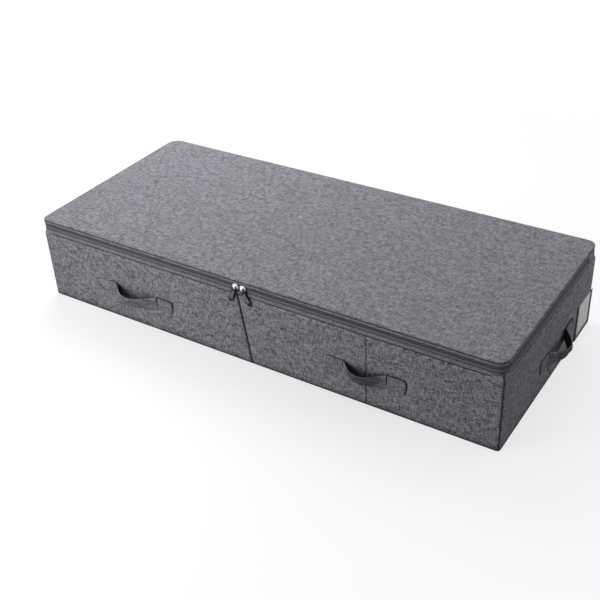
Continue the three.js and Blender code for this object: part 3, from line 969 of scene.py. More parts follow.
def zip_bands():
    """Hems beside the zip, the dark cords in the seams between them, and a dark cord at the lower
    hem's fold that is painted shadow.
    """
    path = zip_path(5 * MM)
    top = PIPING_LOW.z
    fold = COIL_Z - 6.4 * MM  # the lower hem's upper edge
    soft_band("upper_hem", path, top - 4.6 * MM, top + 0.5 * MM, 0.1 * MM, "lid")
    soft_band("lower_hem", path, WALL_TOP + 2.2 * MM, fold - 0.6 * MM, 0.3 * MM, "tray")
    cords = (
        ("upper_hem_cord", "lid", 1.3 * MM, top - 5.2 * MM, 0.6 * MM, CORD),
        # painted shadow: a dark cord along the lower hem's upper edge stands in for the shadow in
        # the slit beneath the tape
        ("fold_shadow_cord", "tray", 1.1 * MM, fold, 0.75 * MM, CORD),
        ("lower_seam_cord", "tray", 1.3 * MM, WALL_TOP + 1.2 * MM, 0.95 * MM, BINDING),
    )
    for name, body, inset, z, radius, material in cords:
        section = round_section(inset, z, radius, sides=8)
        dress(sweep(name, path, section, ripple=0.1 * MM), material, body, "dark_tape")


def zip_coils():
    """Each row is a run of small teeth; the rows interlock, half a pitch apart."""
    pitch = 1.5 * MM
    places, _ = run_round(zip_path(2 * MM))
    outs = [n for _, n in places]
    rows = (
        ("upper_coil_teeth", "lid", "upper_zip_coil", 1, 0.0),
        ("lower_coil_teeth", "tray", "lower_zip_coil", -1, 0.5),
    )
    for name, body, node, side, start in rows:
        rise = Vector((0, 0, COIL_Z + side * 0.72 * MM))
        line = [p - n * (1.15 * MM) + rise for p, n in places]
        teeth = []
        for centre, direction, out in stitch_spots(line, outs, pitch):
            tilt = (Vector((0, 0, 1)) + direction * 0.22 * side).normalized()
            teeth.append((centre + direction * (start * pitch), tilt, out))
        row = pills(name, teeth, 2.7 * MM, 0.5 * MM, flat=1.15)
        dress(row, COIL, body, "zip_coil", node)


def zip_stitches():
    path = zip_path(5 * MM)
    rows = (
        ("hem_stitches", "lid", 0.05 * MM, PIPING_LOW.z - 3.3 * MM),
        ("lower_hem_stitches", "tray", 0.22 * MM, COIL_Z - 8.3 * MM),
    )
    for name, body, inset, z in rows:
        row = outline_stitches(name, path, inset, z)
        dress(row, THREAD, body, "dark_tape")


def zip_stops():
    foot_to_top = ((0.0, 1.0), (0.5, 0.95), (0.85, 0.7), (1.0, 0.25))
    profile = [(1 - a * 0.35, b * 1.3 * MM) for a, b in foot_to_top]
    for end, sign in (("left", -1), ("right", 1)):
        node = f"{end}_zip_stop"
        middle, half = middle_and_half(node)
        stop = button(f"{end}_end_stop", half.y, half.z, profile, power=4)
        stop.rotation_euler = (0, math.radians(90) * sign, 0)
        stop.location = Vector((sign * (HALF_X - 1.9 * MM), middle.y, middle.z))
        dress(outward(place(stop)), NICKEL, "tray", "nickel", node)


def place(obj):
    """Puts the object's transform into its mesh."""
    bpy.context.view_layer.update()
    obj.data.transform(obj.matrix_world)
    obj.matrix_world = Matrix.Identity(4)
    return obj


def squared_circle(sides, power, shift=0.0):
    """Points round a unit circle whose sides are flattened; a small power flattens more."""
    spots = []
    for k in range(sides):
        angle = 2 * math.pi * (k + shift) / sides
        c, s = math.cos(angle), math.sin(angle)
        spots.append((math.copysign(abs(c) ** power, c), math.copysign(abs(s) ** power, s)))
    return spots


def button(name, half_x, half_y, profile, power, sides=32):
    """Closed solid on a rounded outline. profile lists (scale, height) from foot to top."""
    spots = squared_circle(sides, 2 / power)
    rows = [[(x * half_x * scale, y * half_y * scale, z) for x, y in spots] for scale, z in profile]
    uv = [[(MM * k, MM * i) for k in range(sides + 1)] for i in range(len(rows))]
    return sheet(name, rows, uv, wrap=True, caps=True)


# --- sliders and pulls


def plate(name, outlines, thickness, bevel):
    """Flat plate with soft edges from closed outlines in X and Y; the later ones are holes."""
    curve = bpy.data.curves.new(name, "CURVE")
    curve.dimensions = "2D"
    curve.fill_mode = "BOTH"
    curve.extrude = thickness / 2 - bevel
    curve.bevel_depth = bevel
    curve.bevel_resolution = 3
    for points in outlines:
        spline = curve.splines.new("POLY")
        spline.points.add(len(points) - 1)
        for spot, (x, y) in zip(spline.points, points):
            spot.co = (x, y, 0, 1)
        spline.use_cyclic_u = True
    drawn = bpy.data.objects.new(name, curve)
    bpy.context.scene.collection.objects.link(drawn)
    bpy.context.view_layer.update()
    mesh = bpy.data.meshes.new_from_object(drawn)
    bpy.data.objects.remove(drawn)
    obj = make_object(name, mesh)
    weld(obj)
    return obj


def arc_points(centre, radius, start, end, steps):
    """Points of an arc, with its start and end in degrees."""
    turns = [math.radians(start + (end - start) * k / steps) for k in range(steps + 1)]
    return [(centre[0] + radius * math.cos(t), centre[1] + radius * math.sin(t)) for t in turns]


def rounded_corners(points, radius):
    """Polygon with each corner cut to a small curve."""
    steps = 4
    made = []
    for i, corner in enumerate(points):
        here = Vector(corner)
        before = Vector(points[i - 1]) - here
        after = Vector(points[(i + 1) % len(points)]) - here
        reach = min(radius, before.length * 0.45, after.length * 0.45)
        start = here + before.normalized() * reach
        end = here + after.normalized() * reach
        for k in range(steps + 1):
            t = k / steps
            spot = start * (1 - t) ** 2 + here * (2 * t * (1 - t)) + end * t**2
            made.append((spot.x, spot.y))
    return made


def join_objects(name, objects):
    """One object out of several, with their meshes kept as separate closed shells."""
    shape = bmesh.new()
    for obj in objects:
        shape.from_mesh(obj.data)
        bpy.data.objects.remove(obj)
    mesh = bpy.data.meshes.new(name)
    shape.to_mesh(mesh)
    shape.free()
    return make_object(name, mesh)


def arch(name, spots, half_wide, half_thick):
    """Bar of rectangular section with soft corners, bent through spots in the YZ plane."""
    section = squared_circle(16, 0.55, shift=0.5)
    points, uv = [], []
    for i, (y, z) in enumerate(spots):
        before = Vector(spots[max(i - 1, 0)])
        after = Vector(spots[min(i + 1, len(spots) - 1)])
        run = (after - before).normalized()
        out = Vector((0, run.y, -run.x))
        points.append([Vector((a * half_wide, y, z)) + out * (b * half_thick) for a, b in section])
        uv.append([(MM * k, MM * i) for k in range(len(section) + 1)])
    return sheet(name, points, uv, wrap=True, caps=True)


def face_front(made, centre, inset):
    """Turns a button's top to the front and sets its foot at an inset from the front."""
    made.rotation_euler = (math.radians(90), 0, 0)
    made.location = centre + Vector((0, inset - HALF_Y, 0))
    return place(made)


def slider(side):
    """Domed front plate with a crown for the pull, a neck between the coils, a back plate."""
    node = f"{side}_slider_body"
    middle, half = middle_and_half(node)
    centre = Vector((middle.x, 0, middle.z))
    dome = ((0.88, 0.0), (0.98, 0.3), (1.0, 0.9), (0.97, 1.6), (0.89, 2.25), (0.76, 2.8),
            (0.58, 3.2), (0.36, 3.45), (0.14, 3.55))
    front = button("front_plate", half.x, half.z, [(s, z * MM) for s, z in dome], power=2.5)
    flat = ((0.88, 0.0), (1.0, 0.4), (1.0, 1.0), (0.88, 1.4))
    back = button("back_plate", half.x * 0.96, half.z * 0.96, [(s, z * MM) for s, z in flat],
                  power=3.2)
    neck = button("neck", 2.2 * MM, 0.5 * MM, [(1, 0), (1, 3.8 * MM)], power=4, sides=16)

    face = -HALF_Y - 3.2 * MM  # where the crown stands on the domed plate
    top = middle.y - half.y + 0.5 * MM
    side_z = 4.0 * MM
    half_spots = [(face + 0.9 * MM, side_z), ((face + top) / 2 + 0.3 * MM, side_z + 0.05 * MM),
                  (top + 1.1 * MM, side_z - 0.5 * MM), (top + 0.35 * MM, side_z * 0.66),
                  (top + 0.05 * MM, side_z * 0.33)]
    spots = half_spots + [(top, 0.0)] + [(y, -z) for y, z in reversed(half_spots)]
    crown = arch("crown", spots, 2.3 * MM, 0.55 * MM)
    crown.location = centre
    made = join_objects(f"{side}_slider", [
        face_front(front, centre, -0.2 * MM),
        face_front(back, centre, 4.7 * MM),
        face_front(neck, centre, 3.5 * MM),
        place(crown),
    ])
    dress(soften(made), NICKEL, f"{side}_slider", "nickel", node)


def pull(side):
    """Tapered pull tab with a square eye, a waist and a round hole near its rounded end."""
    pivot, axis = joint_place(f"{side}_pull_swing")
    splay = math.atan2(axis.z, -axis.x)  # the tab hangs this far from straight down
    wide, waist, end = 4.7 * MM, 3.3 * MM, 4.3 * MM
    length = 34 * MM
    foot = (0, end - length)  # centre of the rounded end
    edge = [(wide, 0.6 * MM), (wide, -7.4 * MM), (waist, -10.6 * MM), (end, foot[1] + 2 * MM)]
    outer = [(-x, y) for x, y in edge] + arc_points(foot, end, 180, 360, 14) + edge[::-1]
    outer = rounded_corners(outer, 0.9 * MM)
    inner_x = wide - 1.25 * MM
    eye = [(-inner_x, -0.6 * MM), (inner_x, -0.6 * MM), (inner_x, -6 * MM), (-inner_x, -6 * MM)]
    eye = rounded_corners(eye, 0.8 * MM)
    middle = -length / 2
    panel = [(x * 0.82, middle + (y - middle) * 0.965) for x, y in outer if y < -7 * MM]
    hole = arc_points(foot, 1.75 * MM, 0, 345, 23)
    rim = arc_points(foot, 2.7 * MM, 0, 345, 23)
    tab = plate("frame", [outer, eye, panel], 1.25 * MM, 0.3 * MM)
    face = plate("face", [panel, hole], 0.8 * MM, 0.1 * MM)
    grommet = plate("grommet", [rim, hole], 1.25 * MM, 0.25 * MM)
    frames = join_objects(f"{side}_pull_rim", [tab, grommet])
    face.name = f"{side}_pull_face"
    turn = Matrix.Rotation(splay, 4, "Y") @ Matrix.Rotation(math.radians(90), 4, "X")
    for made in (frames, face):
        made.data.transform(Matrix.Translation(pivot) @ turn)
    dress(frames, RIM_METAL, f"{side}_pull", "pull_metal", f"{side}_pull_tab")
    dress(face, GUNMETAL, f"{side}_pull", "pull_metal")


# --- lid


def lid_point(x, y):
    """Point of the lid's plan for a point of the sharp rectangle, and its depth in from the
    edge. Each corner square is mapped onto a quarter disc."""
    ends = "left" if x < 0 else "right"
    radius = LID_CORNERS[f"front_{ends}" if y < 0 else f"back_{ends}"]
    edge_x, edge_y = HALF_X - radius, HALF_Y - radius
    over_x, over_y = abs(x) - edge_x, abs(y) - edge_y
    depth = min(HALF_X - abs(x), HALF_Y - abs(y))
    if over_x <= 0 or over_y <= 0:
        return x, y, depth
    reach = max(over_x, over_y)
    if over_x >= over_y:
        turn = math.pi / 4 * over_y / over_x
    else:
        turn = math.pi / 2 - math.pi / 4 * over_x / over_y
    return (math.copysign(edge_x + reach * math.cos(turn), x),
            math.copysign(edge_y + reach * math.sin(turn), y), depth)


def lid_height(x, y, depth):
    """The cloth lies on two boards that meet at the middle, and rolls over their edge."""
    roll, crown = 2.2 * MM, 0.5 * MM
    z = HEIGHT + crown * smooth(depth / (25 * MM))
    if depth < roll:
        z -= roll * (1 - math.sqrt(max(0, 1 - ((roll - depth) / roll) ** 2))) * 0.8

    # over the boards' joint lie a wide hollow that wanders and a narrow crease
    bend = x - 12 * MM * wobble((0, y, 0), 110 * MM)
    dip = groove(bend, (0.55 * MM, 42 * MM)) + groove(x, (0.25 * MM, 5 * MM))
    dip += 0.22 * MM * (1 + wobble((x, y, 0), 170 * MM, 4))
    dip += 0.1 * MM * wobble((x, y, 0), 42 * MM, 8)
    deepest, edge_reach = 1.25 * MM, 60 * MM
    return z - smooth(depth / edge_reach) * min(dip, deepest)


def edge_pucker(x, y, depth):
    """Small pulls of the lid's cloth, from the seam at its edge inwards."""
    seam = math.exp(-depth / (12 * MM))
    run = x if HALF_Y - abs(y) < HALF_X - abs(x) else y
    return 0.32 * MM * seam * wobble((run, 0, 0), 12 * MM, 2)


def lid_top():
    inset = 0.5 * MM
    near = (0, 0.4, 0.9, 1.6, 2.4, 3.4, 5, 7.5, 11)

    def lines(half):
        middle = ticks(-half + 15 * MM, half - 15 * MM, 5.5 * MM)
        edge = [half - gap * MM for gap in near]
        return [-e for e in edge] + middle + edge[::-1]

    def cloth(x, y):
        px, py, depth = lid_point(x, y)
        depth -= inset
        return px, py, lid_height(px, py, depth) - abs(edge_pucker(px, py, depth))

    top = plan_sheet("lid_top_cloth", lines(HALF_X - inset), lines(HALF_Y - inset), cloth)
    with editing(top) as shape:
        roll_over(shape)
    for polygon in top.data.polygons:
        polygon.use_smooth = True
    thicken(top, 0.8 * MM)
    dress(top, LID_LINEN, "lid", "linen_look_fabric", "lid_fabric")


def roll_over(shape):
    """Turns the lid cloth's edge down and in, over the welt."""
    layer = shape.loops.layers.uv["weave"]
    rim = [edge for edge in shape.edges if edge.is_boundary]
    for inset, drop in ((0.15, -0.7), (0.5, -0.9), (1.4, -0.9)):
        grown = bmesh.ops.extrude_edge_only(shape, edges=rim)["geom"]
        fresh = [v for v in grown if isinstance(v, bmesh.types.BMVert)]
        rim = [e for e in grown if isinstance(e, bmesh.types.BMEdge) and e.is_boundary]
        for vert in fresh:
            out = rim_normal(vert.co)
            vert.co += Vector((0, 0, drop * MM)) - out * (inset * MM)
            for loop in vert.link_loops:
                loop[layer].uv = (vert.co.x + out.x * 2 * MM, vert.co.y + out.y * 2 * MM)
    bmesh.ops.recalc_face_normals(shape, faces=shape.faces)

    # the new faces come in no fixed order, so they are put in one
    def order(face):
        indices = [vert.index for vert in face.verts]
        return min(indices) * len(shape.verts) + max(indices)

    shape.verts.index_update()
    shape.faces.sort(key=order)


def rim_normal(point):
    """Way out of the lid's outline at a point near its edge."""
    ends = "left" if point.x < 0 else "right"
    radius = LID_CORNERS[f"front_{ends}" if point.y < 0 else f"back_{ends}"]
    x = max(0, abs(point.x) - (HALF_X - radius)) * math.copysign(1, point.x)
    y = max(0, abs(point.y) - (HALF_Y - radius)) * math.copysign(1, point.y)
    return Vector((x, y, 0)).normalized()


def lid_lining():
    low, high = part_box("lid_lining")
    xs, ys = (ticks(-half, half, 9 * MM) for half in (high.x, high.y))

    def sagging(x, y):
        px, py, depth = lid_point(x, y)
        slack = smooth((depth - (HALF_X - high.x)) / (40 * MM))
        sag = 0.5 * MM * slack * (1 + wobble((px, py, 0), 80 * MM))
        return px, py, low.z + 0.3 * MM - sag

    lining = thicken(plan_sheet("lid_inner_lining", xs, ys, sagging), 0.5 * MM, offset=1)
    dress(lining, LINING, "lid", "lining", "lid_lining")

    # the lining's edge is turned down inside the zip's upper tape, all round
    facing = [(2.6, 0.2), (2.7, -4.0), (2.7, -6.6), (3.2, -6.8), (3.7, -4.0), (3.9, 0.2)]
    section = [(i * MM, PIPING_LOW.z + z * MM) for i, z in facing]
    strip = sweep("upper_tape_facing", zip_path(5 * MM), section)
    dress(strip, LINING, "lid", "lining")


def lid_welt():
    section = round_section(1.5 * MM, PIPING_LOW.z + 1.4 * MM, 1.2 * MM)
    cord = sweep("lid_welt", whole_path(5 * MM), section, closed=True, ripple=0.12 * MM)
    dress(cord, BINDING, "lid", "dark_tape", "lid_piping")


def rear_band():
    """Band above the back wall, from one end of the zip to the other."""
    begin = BAND_START - 3.5 * MM
    path = path_along("right", begin, HALF_Y, 4 * MM)
    path += path_along("back", -HALF_X, HALF_X, 5 * MM)[1:]
    path += path_along("left", -HALF_Y, -begin, 4 * MM)[1:]
    top, foot = FOLD_LINE, WALL_TOP - 0.6 * MM
    inner = 3.1 * MM
    steps = 12
    face = []
    for k in range(steps + 1):
        bow = 0.5 * MM * math.sin(math.pi * k / steps)
        tuck = 1.4 * MM * (math.exp(-k / 0.8) + math.exp(-(steps - k) / 0.8))
        face.append((0.6 * MM - bow + tuck, top + (foot - top) * k / steps))
    profile = face + [(inner, foot), (inner, top)]
    band = sweep("rear_band_cloth", path, profile, ripple=0.2 * MM)
    dress(band, LINEN, "tray", "linen_look_fabric", "rear_band")
    stitches = outline_stitches("rear_band_stitches", path[3:-3], 0.3 * MM, WALL_TOP + 4 * MM)
    dress(stitches, THREAD, "tray", "dark_tape")


def hinge_fold():
    """Fold of cloth between the rear band and the lid."""
    reach = HALF_X - max(LID_CORNERS.values())
    straight = path_along("back", -reach, reach, 6 * MM)
    low, high = FOLD_LINE - 0.8 * MM, PIPING_LOW.z + 1.0 * MM
    outside = [(0.9 * MM, high + (low - high) * k / 6) for k in range(7)]
    inner = [(1.5 * MM, z) for _, z in reversed(outside)]
    fold = sweep("rear_hinge_cloth", straight, outside + inner, ripple=0.1 * MM)
    fold.data.materials.append(WELT)
    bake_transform(fold)


# --- handles

HANDLE_SHAPES = {
    # how far the middle stands off the wall, where it peaks along the loose part (0 to 1), its
    # rise, its half height there, how far it leans out at the top in degrees, how much painted
    # shade darkens its loose middle (0 to 1), and how far its second end was sewn below its first
    "front_left_handle": (22 * MM, 0.42, -6.0 * MM, 13.2 * MM, 20, 0.15, 4.5 * MM),
    "front_right_handle": (16 * MM, 0.46, -6.0 * MM, 14.6 * MM, 25, 0.55, 0.0),
    "left_end_handle": (22 * MM, 0.5, -4.0 * MM, 12.0 * MM, 12, 0.2, 0.0),
    "right_end_handle": (24 * MM, 0.52, -3.0 * MM, 12.4 * MM, 16, 0.5, 0.0),
}


STRAP_COLUMNS = 14  # points across each face of a strap


def strap_lift(share, peak):
    """Height of the loose strap's arch: steep off its first root, then slacker to a crease at
    its second root."""
    if share <= 0 or share >= 1:
        return 0.0
    if share < peak:
        return math.sin(math.pi / 2 * share / peak) ** 0.85
    return 1 - ((share - peak) / (1 - peak)) ** 1.4


class Seat:
    """Where a handle sits on its wall: its middle, its direction of travel, the way out, the
    half length over its sewn ends, half its height, and the two roots of its loose part."""

    def __init__(self, name):
        pivot, _ = joint_place(f"{name}_swing")
        travel, self.out, _, wall = SIDES[name.split("_")[0]]
        middle = pivot - self.out * (pivot.dot(self.out) - wall)
        ends = []
        for tab in "ab":
            low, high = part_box(f"{name}_tab_{tab}")
            ends.append(sorted((corner - middle).dot(travel) for corner in (low, high)))
        ends.sort()
        self.roots = (ends[0][1], ends[1][0])
        self.half_high = (high.z - low.z) / 2
        self.half_long = ends[1][1]
        fall = HANDLE_SHAPES[name][-1]
        self.travel = travel - Vector((0, 0, fall / (2 * self.half_long)))
        self.centre = middle - Vector((0, 0, fall / 4))

    def at(self, along, up, away):
        return self.centre + self.travel * along + self.out * away + Vector((0, 0, up))


def strap_sections(seat, shape):
    """Along the strap: (along, distance off the wall, rise, half height, lift)."""
    bulge, peak, rise, apex_half = shape[:4]
    first, second = seat.roots
    sections = []
    for along in ticks(-seat.half_long, seat.half_long, 2.6 * MM, seat.roots):
        lift = strap_lift((along - first) / (second - first), peak)
        high = seat.half_high + (apex_half - seat.half_high) * smooth(lift)
        sections.append((along, 1.5 * MM + bulge * lift, rise * lift, high, lift))
    return sections


def strap_ring(seat, section, normal, lean):
    """Points round one section: down its outer face and back up its inner one."""
    along, away, up, high, lift = section
    middle = seat.at(along, up, away)
    corner = smooth((abs(along) - seat.half_long + 5 * MM) / (5 * MM))
    tilt = math.radians(lean) * smooth(lift)
    across = Vector((0, 0, math.cos(tilt))) + normal * math.sin(tilt)
    half_thick = (1.1 + 0.4 * lift) * MM
    ring = []
    for face in (1, -1):
        for j in range(STRAP_COLUMNS):
            v = (1 - 2 * j / (STRAP_COLUMNS - 1)) * face
            rim = math.sqrt(max(0, 1 - abs(v) ** 6))
            push = half_thick * (0.35 + 0.65 * rim) * face
            push += 0.9 * MM * lift * math.sin(v * 4.2) - 1.8 * MM * lift * v * v
            push += 0.5 * MM * lift * wobble((along, v * high, away), 13 * MM, 3)
            ring.append(middle + across * (v * high * (1 - 0.1 * corner)) + normal * push)
    return ring


def strap_mesh(name, seat):
    """Closed mesh of the strap, with its second material, a near-black painted shade, on the face
    that lies towards the wall.
    """
    _, peak, _, _, lean, shade_amount, _ = HANDLE_SHAPES[name]
    sections = strap_sections(seat, HANDLE_SHAPES[name])
    ring = 2 * STRAP_COLUMNS
    points, uv, strap_shade, gone, last = [], [], [], 0.0, None
    for k, section in enumerate(sections):
        along, away, up, high, lift = section
        before, after = sections[max(k - 1, 0)], sections[min(k + 1, len(sections) - 1)]
        tangent = seat.travel * (after[0] - before[0]) + seat.out * (after[1] - before[1])
        normal = tangent.normalized().cross(Vector((0, 0, 1)))
        if normal.dot(seat.out) < 0:
            normal = -normal
        points.append(strap_ring(seat, section, normal, lean))
        middle = seat.at(along, up, away)
        gone += (middle - last).length if last else 0
        last = middle
        uv.append([(gone, -2 * high * j / (STRAP_COLUMNS - 1)) for j in range(ring + 1)])
        share = (along - seat.roots[0]) / (seat.roots[1] - seat.roots[0])
        # painted shade: these weights darken the strap's loose middle, standing in for the shade on
        # the face that turns away from the light
        strap_shade += [shade_amount * smooth(1.5 * lift) * smooth(0.2 + share / peak)] * ring
    strap = sheet(f"{name}_strap", points, uv, wrap=True, caps=True)
    strap.data.attributes.new("strap_shade", "FLOAT", "POINT").data.foreach_set("value", strap_shade)
    for index in range((len(points) - 1) * ring):
        if STRAP_COLUMNS <= index % ring < ring - 1:
            strap.data.polygons[index].material_index = 1
    return outward(strap)


def handle_strap(name, seat):
    strap = soften(strap_mesh(name, seat))
    strap.data.materials.append(STRAP)
    # painted shade for the strap's inner face
    strap.data.materials.append(STRAP_INNER_SHADE)
    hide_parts(f"{name}_tab_a", f"{name}_tab_b", f"{name}_grip")
    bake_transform(strap)


def handle_shadow_lines(name, seat):
    """Painted shadow: dark cords along the top of both sewn ends, and down the second, stand in for
    the shadow gap round the raised ends.
    """
    top, side = seat.half_high + 0.3 * MM, seat.half_long + 0.3 * MM
    bend = 5 * MM
    second = [(seat.roots[1] - 1 * MM, top - 0.4 * MM), (side - bend, top)]
    second += arc_points((side - bend, top - bend), bend, 90, 0, 6)[1:]
    second += [(side, 0.0), (side, -seat.half_high * 0.45)]
    first = [(2 * MM - seat.half_long, top - 0.8 * MM), (8 * MM - seat.half_long, top - 0.1 * MM),
             (seat.roots[0] + 1 * MM, top - 0.3 * MM)]
    for label, line, radius in (("second", second, 1.05 * MM), ("first", first, 0.62 * MM)):
        centres = [seat.at(along, up, 1.5 * MM) for along, up in divided(line, 4)]
        cord = tube(f"{name}_{label}_shadow_line", centres, radius, seed=seat.half_long)
        dress(cord, BINDING, "tray", "handle_webbing")


def handle_stitches(name, seat):
    """A sewn box near the rim of each end, and a bar tack of close dark stitches at each root; the
    wider, longer tack at the second root also stands in as painted shade for the crease there.
    """
    spots = []
    high = seat.half_high - 3.2 * MM
    near = seat.half_long - 3 * MM
    for near, far in ((-near, seat.roots[0] - 5 * MM), (near, seat.roots[1] + 5 * MM)):
        corners = [(near, high), (far, high), (far, -high), (near, -high), (near, high)]
        line = [seat.at(along, up, 2.55 * MM) for along, up in divided(corners, 8)]
        spots += stitch_spots(line, [seat.out] * len(line), 3.2 * MM)
    sewn = pills(f"{name}_stitches", spots, 2.3 * MM, 0.3 * MM, flat=0.7)
    dress(sewn, THREAD, "tray", "handle_webbing")

    # painted shade: the second root's tack is wide and long to darken the crease where the strap
    # turns back to the wall
    tacks = []
    top = 0.92  # shares of the strap's half height, as is foot
    for root, shift, wide, foot in ((0, -1.2 * MM, 1.2 * MM, 0.2), (1, 1.2 * MM, 2.6 * MM, -0.5)):
        along = seat.roots[root] + shift
        ups = [seat.half_high * (top + (foot - top) * k / 15) for k in range(16)]
        spots = [(seat.at(along, up, 2.6 * MM), seat.travel, seat.out) for up in ups]
        tacks.append(pills(f"tack_{root}", spots, wide, 0.62 * MM))
    dress(join_objects(f"{name}_bar_tacks_crease_shade", tacks), BINDING, "tray", "handle_webbing")


# --- label pocket


def flat_panel(name, node, thickness, bow):
    """Thin panel on the right-hand end that fills a CAD node's face, bowed a little, with its
    corners cut."""
    low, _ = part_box(node)
    middle, half = middle_and_half(node)
    columns, rows = 22, 20
    points, uv = [], []
    for i in range(rows + 1):
        row, strip = [], []
        for j in range(columns + 1):
            a, b = -1 + 2 * j / columns, -1 + 2 * i / rows
            cut = 0.8 * MM * max(0, abs(a) + abs(b) - 1.85) / 0.15
            y, z = a * (half.y - cut), b * (half.z - cut)
            out = bow * (1 - a * a) * (1 - b * b)
            row.append((low.x + out, middle.y + y, middle.z + z))
            strip.append((y, z))
        points.append(row)
        uv.append(strip)
    return thicken(sheet(name, points, uv), thickness, offset=1)


def pocket_edges():
    """Pairs of points on the border's outer and inner edge, down one side of the pocket, along
    its foot and up the other side. The two lower corners are mitred."""
    low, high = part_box("label_pocket_border")
    wide = 6.5 * MM
    outer = [(low.y, high.z), (low.y, low.z), (high.y, low.z), (high.y, high.z)]
    inward = ((1, 0), (1, 1), (-1, 1), (-1, 0))
    inner = [(y + a * wide, z + b * wide) for (y, z), (a, b) in zip(outer, inward)]
    return list(zip(divided(outer, 12), divided(inner, 12)))


def across_border(edges, share, x):
    """Point at a share of the way from the outer edge to the inner one."""
    (a, b), (c, d) = edges
    return Vector((x, a + (c - a) * share, b + (d - b) * share))


def pocket_border():
    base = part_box("label_pocket_border")[0].x
    pairs = pocket_edges()
    # share of the border's width, and how far the cloth stands proud there in millimetres
    section = ((0.0, -0.15), (0.12, 0.45), (0.35, 0.62), (0.65, 0.62), (0.88, 0.45), (1.0, -0.15))
    points, uv = [], []
    for k, edges in enumerate(pairs):
        row = []
        for share, height in section:
            proud = (height + 0.1 * wobble((k, share, 0), 2.0)) * MM
            row.append(across_border(edges, share, base + proud))
        points.append(row)
        uv.append([(6 * MM * k, 1.2 * MM * n) for n in range(len(section))])
    border = sheet("pocket_border", points, uv)
    with editing(border) as shape:  # the border's open sheet faces +X
        bmesh.ops.reverse_faces(shape, faces=shape.faces)
    dress(thicken(border, 0.6 * MM), POCKET, "tray", "dark_tape", "label_pocket_border")

    spots = []
    for share in (0.22, 0.8):
        line = [across_border(edges, share, base + 0.68 * MM) for edges in pairs]
        spots += stitch_spots(line, [Vector((1, 0, 0))] * len(line), 3.2 * MM)
    sewn = pills("pocket_stitches", spots, 2.3 * MM, 0.28 * MM, flat=0.7)
    dress(sewn, THREAD, "tray", "dark_tape")


def label_pocket():
    card = flat_panel("label_card_sheet", "label_card", 0.35 * MM, 0.12 * MM)
    dress(card, PAPER, "label_insert", "label_card", "label_card")
    window = flat_panel("pocket_window", "label_window", 0.3 * MM, 0.35 * MM)
    dress(window, FILM, "tray", "clear_window", "label_window")
    pocket_border()


# --- stage, light and camera


FLOOR_BOUNCE = 0.25
HORIZON_LIGHT = 0.34
ZENITH_LIGHT = 0.62
LAMP_AIM = Vector((0, 0, 0.1))
LAMPS = (
    # name, place, size and power in watts
    ("key", (-0.73, 0.58, 1.0), 0.9, 13.4),
    ("front", (-0.44, -1.1, 0.5), 0.6, 6.6),
    ("back_right", (0.95, 0.7, 0.4), 0.4, 1.4),
)


def sky(world):
    """The camera sees plain white; everything else is lit by a dome that differs a little
    between its top and the horizon."""
    dome = Nodes(world)
    lit, output = dome.tree.nodes["Background"], dome.tree.nodes["World Output"]
    plain = dome.node("ShaderNodeBackground", {"Color": (1, 1, 1, 1)})
    way = dome.node("ShaderNodeTexCoord").outputs["Generated"]
    height = dome.node("ShaderNodeSeparateXYZ", {0: way}).outputs["Z"]
    dome.feed(lit.inputs["Strength"], dome.spread(height, 0, 1, HORIZON_LIGHT, ZENITH_LIGHT))
    dome.feed(lit.inputs["Color"], (0.97, 0.98, 1.0, 1))
    seen = dome.node("ShaderNodeLightPath").outputs["Is Camera Ray"]
    choice = dome.node("ShaderNodeMixShader", {0: seen, 1: lit.outputs[0], 2: plain.outputs[0]})
    dome.feed(output.inputs["Surface"], choice.outputs[0])


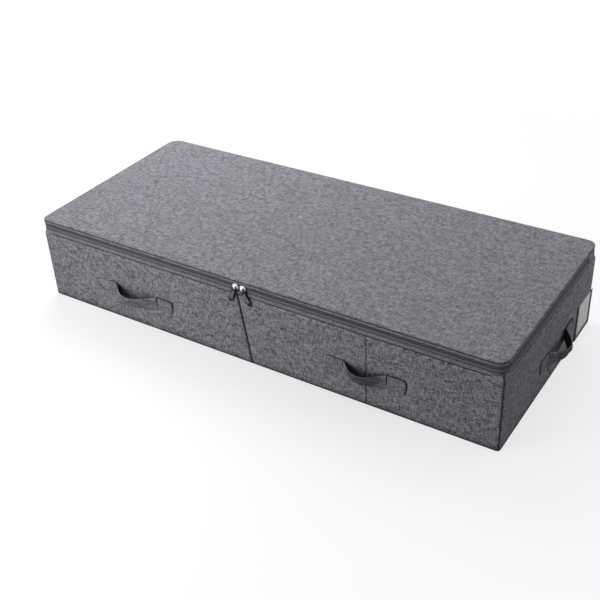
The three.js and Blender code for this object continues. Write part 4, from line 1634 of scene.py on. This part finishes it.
def pale_floor():
    """It looks pale, but throws little light back up on the box's sides, and it fades into the
    white background away from the box."""
    m = Material("pale_floor")
    seen = m.node("ShaderNodeLightPath").outputs["Is Camera Ray"]
    pale = m.mix(m.object_noise(40 * MM), (0.93, 0.93, 0.93, 1), (0.95, 0.95, 0.95, 1))
    colour = m.mix(seen, (FLOOR_BOUNCE, FLOOR_BOUNCE, FLOOR_BOUNCE, 1), pale)
    spot = m.node("ShaderNodeTexCoord").outputs["Object"]
    away = m.node("ShaderNodeVectorMath", {0: spot}, operation="LENGTH").outputs["Value"]
    far = m.times(m.spread(away, 0.3, 1.3, 0.6, 1.0), seen)
    return m.finish(
        Base_Color=m.scaled(colour, m.spread(far, 0, 1, 1, 0)),
        Roughness=0.9,
        Specular_IOR_Level=0.1,
        Emission_Color=(1, 1, 1, 1),
        Emission_Strength=far,
    )


def studio():
    scene = bpy.context.scene
    scene.view_settings.view_transform = "Standard"
    scene.view_settings.look = "None"
    reach = 14
    corners = [(-reach, -reach), (reach, -reach), (reach, reach), (-reach, reach)]
    mesh = bpy.data.meshes.new("floor")
    mesh.from_pydata([(x, y, 0) for x, y in corners], [], [(0, 1, 2, 3)])
    floor = make_object("floor", mesh)
    floor.data.materials.append(pale_floor())
    scene.world = bpy.data.worlds.new("studio")
    sky(scene.world)
    for name, place_at, size, power in LAMPS:
        light = bpy.data.lights.new(name, "AREA")
        light.size = size
        light.energy = power
        lamp = bpy.data.objects.new(name, light)
        lamp.location = place_at
        lamp.visible_camera = False
        aim = LAMP_AIM - lamp.location
        lamp.rotation_euler = aim.to_track_quat("-Z", "Y").to_euler()
        scene.collection.objects.link(lamp)


def camera():
    """Three-quarter view from above the front right corner, as the box is usually shown."""
    azimuth, elevation, roll = math.radians(34.25), math.radians(33.54), math.radians(-3.05)
    stand = Vector((0.9202, -1.3894, 1.1219))
    data = bpy.data.cameras.new("camera")
    data.sensor_width = 36
    data.lens = 59.27
    data.clip_start = 0.01
    obj = bpy.data.objects.new("camera", data)
    turn = Matrix.Rotation(azimuth, 4, "Z") @ Matrix.Rotation(math.pi / 2 - elevation, 4, "X")
    obj.matrix_world = Matrix.Translation(stand) @ turn @ Matrix.Rotation(roll, 4, "Z")
    bpy.context.scene.collection.objects.link(obj)
    bpy.context.scene.camera = obj


# --- build

tray_walls()
upright_seams()
corner_gussets()
bottom_edge()
inside()
zip_tapes()
zip_bands()
zip_coils()
zip_stitches()
zip_stops()
for hand in ("left", "right"):
    slider(hand)
    pull(hand)
lid_top()
lid_welt()
lid_lining()
rear_band()
hinge_fold()
for handle_name in HANDLE_SHAPES:
    handle_seat = Seat(handle_name)
    handle_strap(handle_name, handle_seat)
    handle_shadow_lines(handle_name, handle_seat)
    handle_stitches(handle_name, handle_seat)
label_pocket()
studio()
camera()
